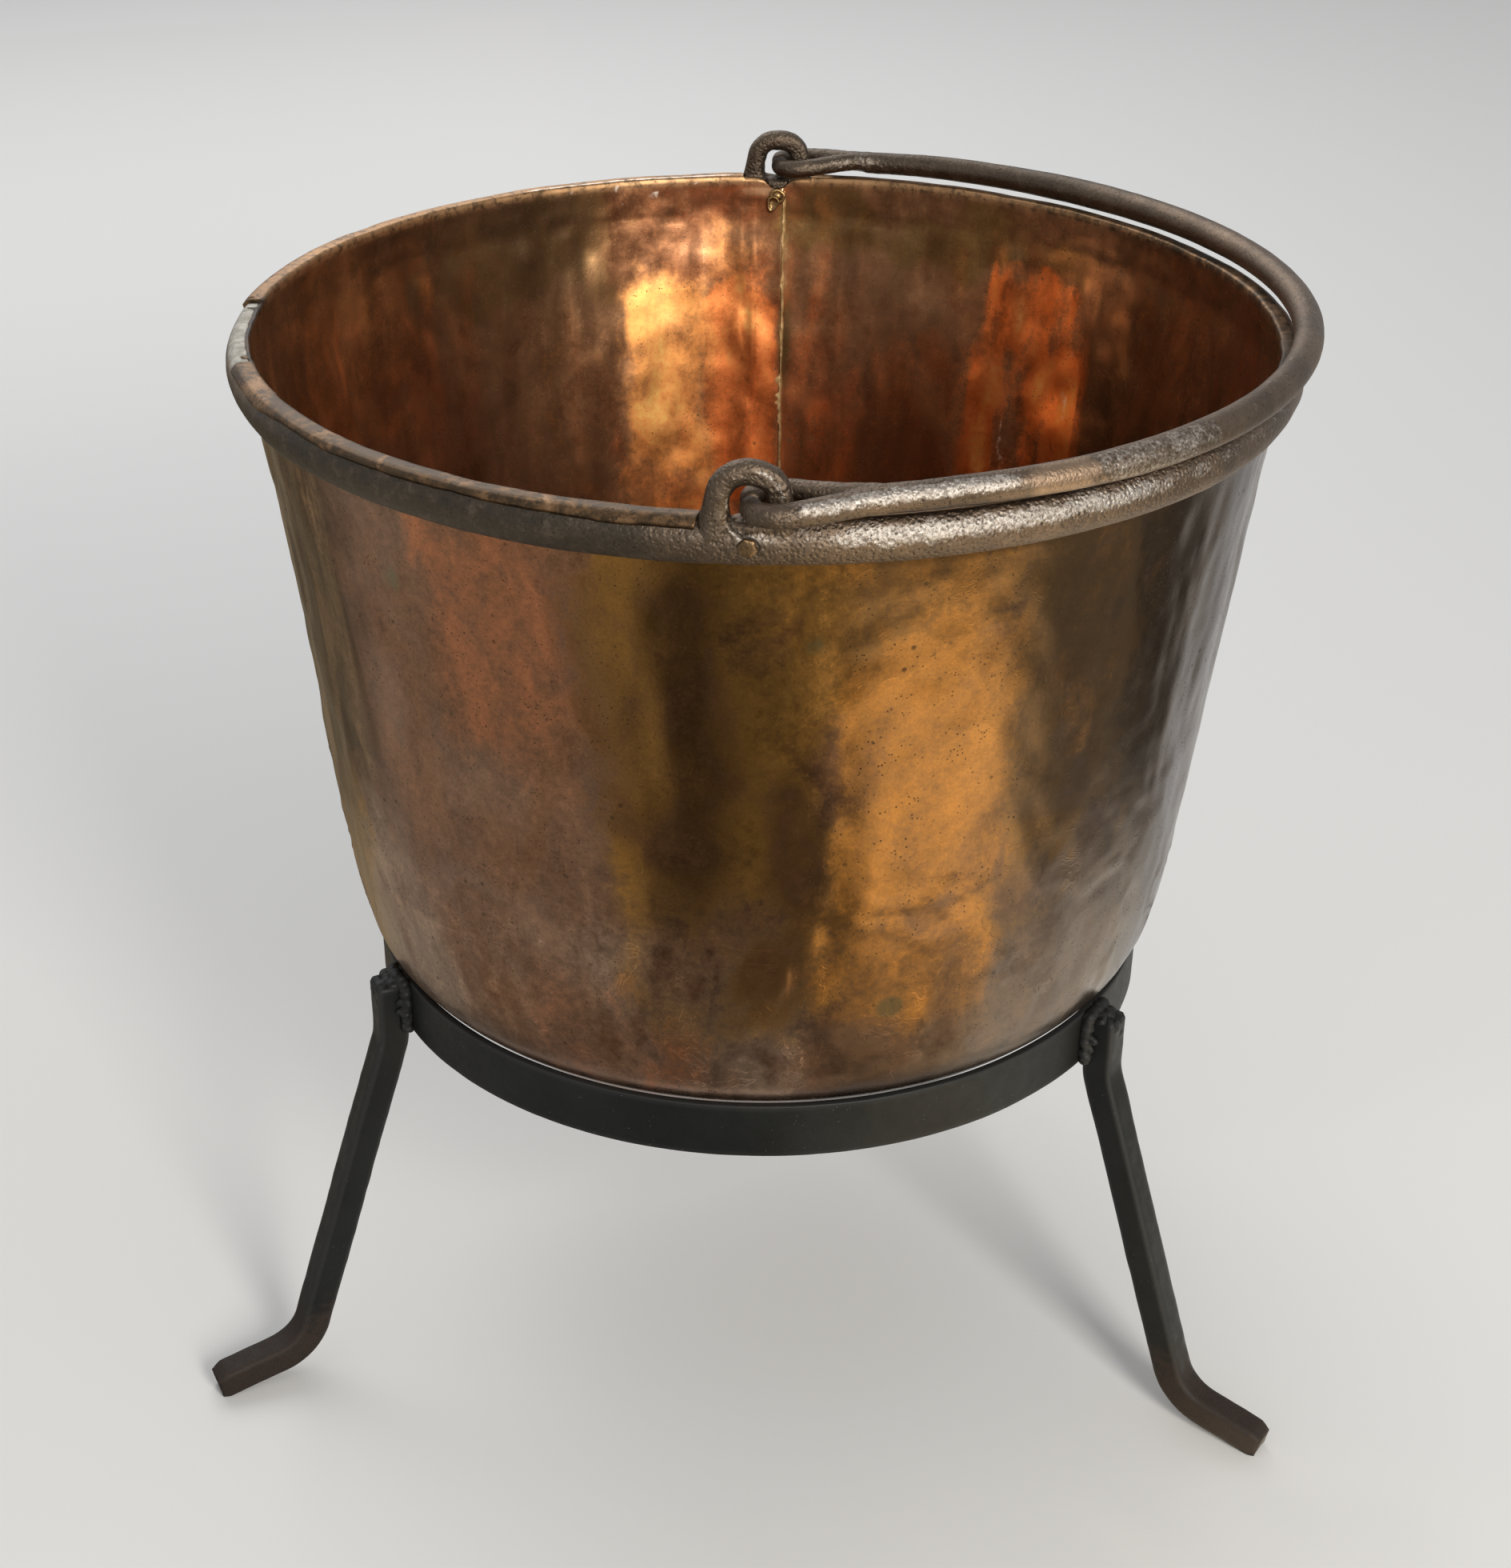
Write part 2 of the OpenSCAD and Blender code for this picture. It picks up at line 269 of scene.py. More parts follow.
def coords(ob):
    co = np.zeros(len(ob.data.vertices) * 3)
    ob.data.vertices.foreach_get("co", co)
    return co.reshape(-1, 3) / MM


def normals(ob):
    n = np.zeros(len(ob.data.vertices) * 3)
    ob.data.vertices.foreach_get("normal", n)
    return n.reshape(-1, 3)


def set_coords(ob, p_mm):
    ob.data.vertices.foreach_set("co", (np.asarray(p_mm) * MM).astype(np.float32).ravel())
    ob.data.update()


def attribute(ob, name, values):
    at = ob.data.attributes.get(name) or ob.data.attributes.new(name, "FLOAT", "POINT")
    at.data.foreach_set("value", np.clip(np.asarray(values, float), 0, 1).astype(np.float32))


def forge(ob, amount=0.25, size=7.0, flats=0.0, seed=5, keep=None):
    """Hammered and scaled iron: soft lumps, flats and fine pits moved into the mesh."""
    p = coords(ob)
    d = amount * fbm(p / size, 3, seed) + 0.35 * amount * vnoise(p / (size * 0.3), seed + 3)
    if flats:
        f1, _ = cells(p / 15.0, seed + 9)
        d = d + flats * (f1 * f1 - 0.35)
    if keep is not None:
        d = d * keep(p)
    set_coords(ob, p + normals(ob) * d[:, None])


# ------------------------------------------------------------------ materials
class Nodes:
    """Short names for the shader nodes used below."""

    def __init__(self, name):
        self.mat = bpy.data.materials.new(name)
        self.mat.use_nodes = True
        self.t = self.mat.node_tree
        self.t.nodes.clear()
        self.out = self.t.nodes.new("ShaderNodeOutputMaterial")
        self.bsdf = self.t.nodes.new("ShaderNodeBsdfPrincipled")
        self.t.links.new(self.bsdf.outputs[0], self.out.inputs[0])
        self._pos = None

    def put(self, sock, value):
        if isinstance(value, bpy.types.NodeSocket):
            self.t.links.new(value, sock)
        elif value is not None:
            if sock.type == "RGBA" and len(value) == 3:
                value = (*value, 1.0)
            sock.default_value = value

    @property
    def pos(self):
        if self._pos is None:
            self._pos = self.t.nodes.new("ShaderNodeTexCoord").outputs["Object"]
        return self._pos

    def attr(self, name):
        n = self.t.nodes.new("ShaderNodeAttribute")
        n.attribute_type = "GEOMETRY"
        n.attribute_name = name
        return n.outputs["Fac"]

    def scaled(self, s, off=(0, 0, 0)):
        n = self.t.nodes.new("ShaderNodeMapping")
        self.put(n.inputs["Vector"], self.pos)
        n.inputs["Scale"].default_value = s
        n.inputs["Location"].default_value = off
        return n.outputs[0]

    def noise(self, scale, detail=3.0, rough=0.5, vec=None, distort=0.0):
        n = self.t.nodes.new("ShaderNodeTexNoise")
        self.put(n.inputs["Vector"], vec if vec is not None else self.pos)
        n.inputs["Scale"].default_value = scale
        n.inputs["Detail"].default_value = detail
        n.inputs["Roughness"].default_value = rough
        n.inputs["Distortion"].default_value = distort
        return n.outputs["Fac"]

    def voronoi(self, scale, vec=None, feature="F1", rand=1.0):
        n = self.t.nodes.new("ShaderNodeTexVoronoi")
        n.feature = feature
        self.put(n.inputs["Vector"], vec if vec is not None else self.pos)
        n.inputs["Scale"].default_value = scale
        n.inputs["Randomness"].default_value = rand
        return n.outputs["Distance"]

    def math(self, op, a, b=None, c=None, clamp=False):
        n = self.t.nodes.new("ShaderNodeMath")
        n.operation = op
        n.use_clamp = clamp
        for k, v in enumerate((a, b, c)):
            if v is not None:
                self.put(n.inputs[k], v)
        return n.outputs[0]

    def ramp(self, x, a, b, lo=0.0, hi=1.0, smooth=True):
        n = self.t.nodes.new("ShaderNodeMapRange")
        n.interpolation_type = "SMOOTHSTEP" if smooth else "LINEAR"
        self.put(n.inputs["Value"], x)
        n.inputs["From Min"].default_value = a
        n.inputs["From Max"].default_value = b
        n.inputs["To Min"].default_value = lo
        n.inputs["To Max"].default_value = hi
        return n.outputs[0]

    def mix(self, fac, a, b, kind="MIX"):
        n = self.t.nodes.new("ShaderNodeMix")
        n.data_type = "RGBA"
        n.blend_type = kind
        n.clamp_factor = True
        self.put(n.inputs[0], fac)
        self.put(n.inputs[6], a)
        self.put(n.inputs[7], b)
        return n.outputs[2]

    def z(self):
        n = self.t.nodes.new("ShaderNodeSeparateXYZ")
        self.put(n.inputs[0], self.pos)
        return n.outputs["Z"]

    def bump(self, height, strength, distance, under=None):
        n = self.t.nodes.new("ShaderNodeBump")
        n.inputs["Strength"].default_value = strength
        n.inputs["Distance"].default_value = distance
        self.put(n.inputs["Height"], height)
        if under is not None:
            self.put(n.inputs["Normal"], under)
        return n.outputs[0]

    def finish(self, color, rough, normal=None, metallic=1.0, spec=0.5):
        b = self.bsdf.inputs
        self.put(b["Base Color"], color)
        self.put(b["Roughness"], rough)
        self.put(b["Metallic"], metallic)
        b["Specular IOR Level"].default_value = spec
        if normal is not None:
            self.put(b["Normal"], normal)
        return self.mat


def copper_material(name, inside):
    """Old hand-hammered copper. Broad fields of patina ride on the mesh, some of them painted reflections, highlights
    and shade; everything fine is in the nodes.
    """
    n = Nodes(name)
    tall = n.scaled((1.0, 1.0, 0.62))
    run = n.scaled((1.0, 1.0, 0.16 if inside else 0.22))
    wisp = n.noise(13, 5, 0.55, tall, 1.0)
    blotch = n.noise(42, 5, 0.58, tall, 0.7)
    mottle = n.noise(170, 5, 0.7, None, 0.4)
    fine = n.noise(620, 4, 0.75)
    streak = n.noise(40 if inside else 58, 4, 0.55, run, 0.5)

    def off(x, k):
        return n.math("MULTIPLY", n.math("SUBTRACT", x, 0.5), k)

    def mask(which, lo=0.2, hi=0.8, w=1.1, s=0.9, m=0.5):
        """The field with torn, mottled edges. It fades out where the field is nothing."""
        f = n.attr(which)
        x = n.math("ADD", off(wisp, w), n.math("ADD", off(blotch, s), off(mottle, m)))
        x = n.math("MULTIPLY_ADD", x, n.ramp(f, 0.0, 0.12), f)
        return n.ramp(x, lo, hi)

    # The fields' colours: patina, and where the fields follow the light also painted highlights, reflections and shade
    # (gold, dark, olive, red, soft).
    if inside:
        base, cool, dark = (0.50, 0.265, 0.130), (0.44, 0.240, 0.125), (0.165, 0.092, 0.046)
        gold, red, olive = (1.00, 0.455, 0.140), (1.00, 0.335, 0.103), (0.33, 0.195, 0.072)
        soft = (0.42, 0.190, 0.088)
    else:
        base, cool, dark = (0.225, 0.112, 0.060), (0.195, 0.112, 0.073), (0.115, 0.056, 0.024)
        gold, red, olive = (0.51, 0.230, 0.050), (0.275, 0.112, 0.055), (0.275, 0.138, 0.034)
        soft = (0.30, 0.205, 0.145)
    c = n.mix(n.ramp(wisp, 0.36, 0.62), base, cool)
    c = n.mix(mask("soft", 0.1, 0.9), c, soft)
    c = n.mix(mask("olive", 0.1, 0.9, 1.8, 1.2), c, olive)
    c = n.mix(mask("red", 0.2, 0.8, 1.3, 1.1), c, red)
    c = n.mix(mask("dark", 0.05, 0.95, 2.1, 1.7, 0.8), c, dark)
    c = n.mix(mask("gold", 0.0, 1.1, 1.2, 1.3, 0.7), c, gold)
    c = n.mix(mask("brass", 0.25, 0.75, 0.5, 0.8), c, (0.30, 0.215, 0.085) if inside else (0.27, 0.165, 0.075))
    # upright streaks where the sheet was dressed; outside, the side field also darkens the left edge and lays pale
    # streaks on it, partly a painted reflection of the shaded floor there
    if inside:
        lo, hi = n.mix(1.0, c, (0.72, 0.68, 0.66), "MULTIPLY"), n.mix(1.0, c, (1.35, 1.3, 1.22), "MULTIPLY")
        c = n.mix(n.ramp(streak, 0.5, 0.36, 0, 0.55), c, lo)
        c = n.mix(n.ramp(streak, 0.53, 0.68, 0, 0.5), c, hi)
    else:
        pull = n.noise(44, 3, 0.5, n.scaled((1.0, 1.0, 0.09)), 0.4)
        s = n.math("MULTIPLY", n.attr("side"), n.ramp(n.math("ADD", pull, off(mottle, 0.10)), 0.45, 0.65))
        c = n.mix(n.math("MULTIPLY", n.attr("side"), 0.62), c, (0.100, 0.058, 0.029))
        c = n.mix(n.math("MULTIPLY", s, 0.75), c, (0.42, 0.262, 0.145))
    # mottling, from hand-sized clouds to pin pricks
    s = 0.62 if inside else 0.85
    k = n.math("ADD", off(wisp, 0.9 * s), n.math("ADD", off(blotch, 1.2 * s), n.math("ADD", off(mottle, 1.0 * s), off(fine, 0.9 * s))))
    c = n.mix(n.ramp(k, 0.0, -0.42, 0, 0.8, False), c, n.mix(1.0, c, (0.40, 0.36, 0.34), "MULTIPLY"))
    c = n.mix(n.ramp(k, 0.0, 0.42, 0, 0.85, False), c, n.mix(1.0, c, (1.70, 1.66, 1.60), "MULTIPLY"))
    # rubbed creases: thin lighter lines that wander
    crease = n.math("ABSOLUTE", n.math("SUBTRACT", n.noise(11, 4, 0.6, n.scaled((1, 1, 1.5), (0.3, 1.7, 0.9)), 1.8), 0.5))
    crease = n.math("MULTIPLY", n.ramp(crease, 0.0, 0.013, 1, 0), n.ramp(blotch, 0.5, 0.62))
    crease = n.math("MULTIPLY", crease, n.attr("creased"))
    c = n.mix(n.math("MULTIPLY", crease, 0.5), c, n.mix(1.0, c, (1.9, 1.9, 1.95), "MULTIPLY"))
    # pits
    specks = n.math("MULTIPLY", n.ramp(n.voronoi(330), 0.10, 0.24, 1, 0), n.ramp(n.noise(60, 2), 0.44, 0.62))
    spots = n.math("MULTIPLY", n.ramp(n.voronoi(78), 0.05, 0.15, 1, 0), n.ramp(n.noise(21, 2), 0.52, 0.62))
    pits = n.math("MAXIMUM", specks, n.math("MULTIPLY", spots, 0.8))
    c = n.mix(n.math("MULTIPLY", pits, 0.7), c, (0.030, 0.019, 0.010))
    c = n.mix(n.math("MULTIPLY", mask("green", 0.35, 0.7, 0.6, 1.0), 0.6), c, (0.085, 0.125, 0.07))
    # the turned edge
    edge = n.mix(n.ramp(n.math("ADD", blotch, off(mottle, 0.4)), 0.42, 0.62), (0.088, 0.056, 0.031), (0.215, 0.122, 0.060))
    edge = n.mix(n.ramp(n.math("ADD", mottle, off(fine, 0.5)), 0.52, 0.40, 0, 0.8), edge, (0.060, 0.041, 0.025))
    edge = n.mix(n.ramp(n.math("ADD", blotch, off(fine, 0.6)), 0.56, 0.70, 0, 0.7), edge, (0.34, 0.205, 0.110))
    # far: the lip lighter on the far side, painted light on its top.
    edge = n.mix(n.math("MULTIPLY", n.attr("far"), n.ramp(mottle, 0.36, 0.56, 0.25, 0.85)), edge, (0.46, 0.262, 0.125))
    c = n.mix(n.attr("lip"), c, edge)
    # black: painted shade under the bail on the right front, under the turned edge and in the torn notches; soot under
    # the pan.
    c = n.mix(n.attr("black"), c, (0.028, 0.022, 0.017))
    # glint: painted highlights, pale and less metallic so that they read bright.
    g = n.ramp(n.math("ADD", n.attr("glint"), off(mottle, 0.9)), 0.35, 0.7)
    c = n.mix(g, c, (0.95, 0.80, 0.66))
    rough = n.math("MULTIPLY_ADD", n.math("SUBTRACT", mottle, 0.5), 0.14, 0.23 if inside else 0.235)
    rough = n.math("MULTIPLY_ADD", n.math("SUBTRACT", blotch, 0.5), 0.16, rough)
    rough = n.math("MULTIPLY_ADD", pits, 0.3, rough)
    rough = n.math("MULTIPLY_ADD", n.attr("dull"), 0.24, rough)
    if inside:
        rough = n.math("MULTIPLY_ADD", n.ramp(n.attr("glow"), 0.0, 0.9), 0.16, rough)
    rough = n.math("MULTIPLY_ADD", g, -0.12, rough, clamp=True)
    grain = n.noise(150, 3, 0.5)
    h = n.math("MULTIPLY_ADD", fine, 0.10, n.math("MULTIPLY_ADD", pits, -0.6, grain))
    b = n.bump(h, 0.06 if inside else 0.13, 0.0006)
    soft_dents = n.noise(36, 1, 0.4, tall)
    b = n.bump(n.math("MULTIPLY_ADD", crease, 0.25, soft_dents), 0.27, 0.0022, b)
    metal = n.math("MAXIMUM", mask("gold", 0.0, 1.1, 1.2, 1.3, 0.7), n.attr("red"))
    metal = n.math("MULTIPLY_ADD", metal, 0.14 if inside else 0.06, 0.86 if inside else 0.94, clamp=True)
    metal = n.math("MULTIPLY_ADD", g, -0.75, metal, clamp=True)
    return n.finish(c, rough, b, metallic=metal)


def iron_material(name):
    """Forged iron: dark scale, browner where it is dry, pitted and rubbed to silver where it wears, the silver partly a
    painted highlight where the light catches the hoop and bail.
    """
    n = Nodes(name)
    big = n.noise(22, 4, 0.6)
    mid = n.noise(120, 6, 0.72, None, 0.3)
    fine = n.noise(520, 5, 0.78)
    pit = n.voronoi(520)
    c = n.mix(n.ramp(big, 0.36, 0.64), (0.195, 0.138, 0.094), (0.128, 0.093, 0.066))
    c = n.mix(n.attr("cold"), c, n.mix(n.ramp(mid, 0.35, 0.65), (0.074, 0.062, 0.048), (0.098, 0.077, 0.057)))
    c = n.mix(n.ramp(mid, 0.52, 0.72, 0, 0.55), c, (0.19, 0.145, 0.11))
    c = n.mix(n.ramp(fine, 0.47, 0.34, 0, 0.7), c, (0.030, 0.025, 0.021))
    # wear_and_sheen: rubbed silver, and a painted highlight where the light catches the front right.
    w = n.math("MULTIPLY_ADD", n.math("SUBTRACT", mid, 0.5), 1.2, n.attr("wear_and_sheen"))
    w = n.math("MULTIPLY_ADD", n.math("SUBTRACT", fine, 0.5), 1.2, w)
    w = n.ramp(w, 0.28, 0.82)
    c = n.mix(w, c, n.mix(n.ramp(fine, 0.35, 0.65), (0.235, 0.195, 0.160), (0.52, 0.475, 0.42)))
    c = n.mix(n.attr("tan"), c, (0.34, 0.235, 0.155))
    c = n.mix(n.attr("pale"), c, n.mix(n.ramp(mid, 0.35, 0.65), (0.60, 0.565, 0.49), (0.34, 0.305, 0.245)))
    c = n.mix(n.attr("soot"), c, (0.010, 0.009, 0.008))
    rough = n.math("MULTIPLY_ADD", n.math("SUBTRACT", mid, 0.5), 0.34, 0.475)
    rough = n.math("MULTIPLY_ADD", w, 0.03, rough)
    rough = n.math("MULTIPLY_ADD", n.attr("pale"), 0.25, rough)
    rough = n.math("MULTIPLY_ADD", n.attr("soot"), 0.3, rough, clamp=True)
    h = n.math("MULTIPLY_ADD", fine, 0.6, mid)
    h = n.math("MULTIPLY_ADD", n.ramp(pit, 0.05, 0.35, 1, 0), -0.45, h)
    grit = n.attr("grit")
    b = n.bump(n.math("MULTIPLY", h, n.math("MULTIPLY_ADD", grit, 0.72, 0.28)), 0.62, 0.0009)
    dimple = n.ramp(n.voronoi(390, n.scaled((1, 1, 1), (0.01, 0.02, 0.03))), 0.0, 0.62)
    dimple = n.math("MULTIPLY_ADD", n.noise(90, 3, 0.6), 0.8, dimple)
    b = n.bump(n.math("MULTIPLY", dimple, grit), 0.55, 0.0008, b)
    return n.finish(c, rough, b, metallic=n.math("MULTIPLY_ADD", n.attr("pale"), -0.85, 1.0, clamp=True))


def black_material(name):
    """Brushed-on black paint over forged bar: dusty specks, brown at the feet."""
    n = Nodes(name)
    big = n.noise(18, 3, 0.5)
    mid = n.noise(150, 4, 0.6)
    fine = n.noise(900, 3, 0.6)
    c = n.mix(n.ramp(big, 0.35, 0.65), (0.0040, 0.0045, 0.0043), (0.0070, 0.0076, 0.0071))
    c = n.mix(n.attr("edge"), c, (0.032, 0.031, 0.029))
    dust = n.math("MULTIPLY", n.ramp(n.voronoi(330), 0.05, 0.11, 1, 0), n.ramp(n.noise(80, 2), 0.5, 0.62))
    c = n.mix(n.math("MULTIPLY", dust, 0.55), c, (0.20, 0.20, 0.19))
    low = n.ramp(n.z(), 0.012, 0.11, 1, 0)
    rust = n.math("MULTIPLY", n.ramp(n.math("MULTIPLY_ADD", n.math("SUBTRACT", mid, 0.5), 1.2, low), 0.45, 1.0), 0.55)
    c = n.mix(rust, c, n.mix(n.ramp(fine, 0.4, 0.6), (0.050, 0.027, 0.016), (0.030, 0.020, 0.014)))
    rough = n.math("MULTIPLY_ADD", n.math("SUBTRACT", mid, 0.5), 0.25, 0.52)
    rough = n.math("MULTIPLY_ADD", rust, 0.25, rough, clamp=True)
    h = n.math("MULTIPLY_ADD", fine, 0.35, n.math("MULTIPLY_ADD", mid, 0.9, big))
    b = n.bump(h, 0.35, 0.0007)
    return n.finish(c, rough, b, metallic=0.0, spec=0.24)


def small_metal(name, light, deep, rough, scale=260, metallic=1.0):
    n = Nodes(name)
    mid = n.noise(scale, 4, 0.65)
    fine = n.noise(scale * 4, 3, 0.6)
    c = n.mix(n.ramp(mid, 0.32, 0.68), deep, light)
    r = n.math("MULTIPLY_ADD", n.math("SUBTRACT", mid, 0.5), -0.25, rough)
    b = n.bump(n.math("MULTIPLY_ADD", fine, 0.4, mid), 0.5, 0.0005)
    return n.finish(c, r, b, metallic=metallic)


MAT_OUT = copper_material("copper_outside", False)
MAT_IN = copper_material("copper_inside", True)
MAT_IRON = iron_material("forged_iron")
MAT_BLACK = black_material("black_painted_iron")
MAT_BRAZE = small_metal("yellow_braze", (0.86, 0.62, 0.30), (0.50, 0.30, 0.12), 0.42, 260, 0.55)
MAT_RIVET = small_metal("rivet_copper", (0.215, 0.138, 0.072), (0.115, 0.072, 0.038), 0.44)
MAT_ROVE = small_metal("rove_copper", (0.46, 0.31, 0.14), (0.20, 0.12, 0.05), 0.36)

# ------------------------------------------------------------------ kettle wall
WALL = [(297.7, -1.73), (297.65, -9.5), (297.2, -28), (292.7, -60), (284.8, -120), (275.4, -200),
        (266.9, -280), (260.4, -330), (254.6, -360), (249.8, -374), (245.3, -381.4), (238.9, -388.8),
        (232.3, -394.7), (226, -399.4)]


def offset(line, t):
    """Moves an (r, z) line sideways by t, towards the axis for a line that runs down."""
    line = np.asarray(line, float)
    d = np.gradient(line, axis=0)
    d /= np.linalg.norm(d, axis=1)[:, None]
    return line + t * np.stack([d[:, 1], -d[:, 0]], -1)


def wall_lines():
    top = polyline(WALL[:3], 3.1)
    rest = resample(WALL[2:], 4.7)
    out = np.vstack([top[:-1], rest])
    return out, offset(out, SHEET)


LAP = 89.2      # edge of the lap inside, degrees
LAP_END = 93.2  # edge of the other sheet outside


def dents(x, y, z):
    """Radial movement of the whole sheet, mm, from its handmade shape. Positive is outwards."""
    p = np.stack([x, y, z], -1)
    u = wrap(np.degrees(np.arctan2(y, x)) + 90)  # 0 front, + right
    tall = np.stack([x, y, z * 0.55], -1)
    big = 1.15 * fbm(tall / 92, 2, 31)
    mid = 0.80 * fbm(tall / 33, 2, 41)
    f1, f2 = cells(p / 23.0, 7)
    hammer = 0.48 * (f1 * f1 - 0.3)
    g1, g2 = cells(np.stack([x, y, z * 0.8], -1) / 12.0, 19)
    small = 0.16 * (g1 * g1 - 0.3) + 0.13 * vnoise(p / 11.0, 45)
    # long upright dents where the sheet was dressed along its sides
    run = np.stack([x, y, z * 0.22 + 0.12 * np.abs(u)], -1)
    sides = step(38, 58, np.abs(u)) * (0.45 + 0.55 * step(430, 520, z))
    streak = (1.0 + 0.5 * band(u, -92, -56, 4)) * sides * fbm(run / 13.0, 2, 53)
    slant = np.stack([x, y, z], -1) @ np.array([[1, 0, 0.35], [0, 1, 0.35], [0.5, 0.2, 0.5]])
    streak = streak + 0.75 * band(u, 27, 66, 6) * (1 - 0.6 * step(430, 500, z)) * fbm(slant / 15.0, 2, 54)
    vv = wrap(90 - np.degrees(np.arctan2(y, x)))
    flame = band(vv, 25, 52, 5) * band(z, 400, 640, 20)
    streak = streak + 0.95 * flame * fbm(np.stack([vv / 3.0, z / 52.0, 0 * z], -1), 2, 59)
    glow = band(vv, -32, 0, 5) * band(z, 400, 650, 20)
    streak = streak + 0.85 * glow * fbm(np.stack([vv / 3.6, z / 26.0 + 0.12 * vv, 0 * z + 3], -1), 3, 60)
    # rubbed creases low on the wall
    ridge = 1 - np.abs(fbm(np.stack([x, y, z * 1.3], -1) / 62, 3, 57))
    small = small + 0.75 * step(0.90, 0.995, ridge) * (1 - step(400, 480, z))
    # a few knocks
    knock = 0
    for (au, az, wu, wz, amp) in (
        (-55, 560, 7, 60, -0.9), (-62, 500, 5, 50, 0.7), (63, 470, 6, 26, -0.8), (57, 430, 8, 40, 0.6),
        (46, 395, 7, 22, -0.8), (30, 470, 6, 12, -0.5), (-16, 395, 8, 26, -0.9), (-3, 370, 9, 14, 0.7),
        (18, 530, 5, 30, -0.45), (131, 520, 9, 30, -1.1), (-140, 450, 10, 40, -1.0), (160, 380, 8, 18, 0.8),
        (12, 585, 4, 10, -0.4), (-34, 470, 6, 60, 0.5), (75, 540, 5, 70, 0.8), (178, 560, 12, 22, -0.6),
    ):
        d = np.sqrt((wrap(u - au) / wu) ** 2 + ((z - az) / wz) ** 2)
        knock = knock + amp * (1 - step(0, 1, d))
    fade = step(640, 622, z) if False else (1 - step(622, 643, z))
    fade = fade * step(288, 318, z)
    edge = 0.35 * (1 - fade) * (0.06 * fbm(p / 9, 2, 77))
    return fade * (big + mid + hammer + small + streak + knock) + edge


def inside_extra(x, y, z):
    """Dents near the top of the wall that show inside, under the lip."""
    p = np.stack([x, y, z], -1)
    f1, _ = cells(p / np.array([13.0, 13.0, 10.0]), 61)
    zone = band(z, 632, 660, 6)
    g1, _ = cells(p / np.array([19.0, 19.0, 15.0]), 63)
    return zone * (0.95 * (0.3 - f1 * f1) + 0.35 * fbm(p / 17, 2, 71)) + (1 - step(620, 650, z)) * 0.42 * (0.3 - g1 * g1) * step(300, 330, z)


def azimuths():
    a = set(np.round(np.arange(0, 360, 0.9), 4).tolist())
    for c, r, s in ((LAP, 0.5, 0.1), (LAP_END, 0.6, 0.12), (85.6, 0.6, 0.2), (94.4, 0.6, 0.2), (265.6, 0.6, 0.2),
                    (274.4, 0.6, 0.2), (178.3, 1.8, 0.25), (199.0, 2.2, 0.25)):
        a |= set(np.round(np.arange(c - r, c + r + 1e-6, s), 4).tolist())
    return np.array(sorted(a))


def lip_reach(az):
    """How far the turned-out edge comes over the hoop: 0 is none, 1 is all of it."""
    a = az * RAD
    q = np.stack([np.cos(a) * 300, np.sin(a) * 300, 0 * a], -1)
    u = wrap(az + 90)
    e = 0.90 + 0.06 * vnoise(q / 30, 3) + 0.022 * vnoise(q / 11, 4) + 0.012 * vnoise(q / 3.5, 8)
    e = e - 0.34 * band(u, 8, 90, 8) + 0.09 * band(u, -84, -56, 6)
    for c in (90.0, 270.0):
        e = e * step(4.35, 4.75, np.abs(wrap(az - c)))
    # the torn place: ragged ends, a crumb left in the middle of the far end
    lo = 178.3 + 0.5 * vnoise(q / 4.0, 21)
    hi = 199.0 + 0.7 * vnoise(q / 5.0, 22)
    torn = step(lo - 0.2, lo + 0.15, az) * (1 - step(hi - 0.2, hi + 0.25, az))
    torn = torn * (1 - 0.62 * bell(az, 180.0, 0.45)) * (1 - 0.4 * bell(az, 196.9, 0.6))
    torn = np.maximum(torn, 0.8 * bell(az, 177.4, 0.30))
    return np.clip(e * (1 - torn), 0.0, 1.0)


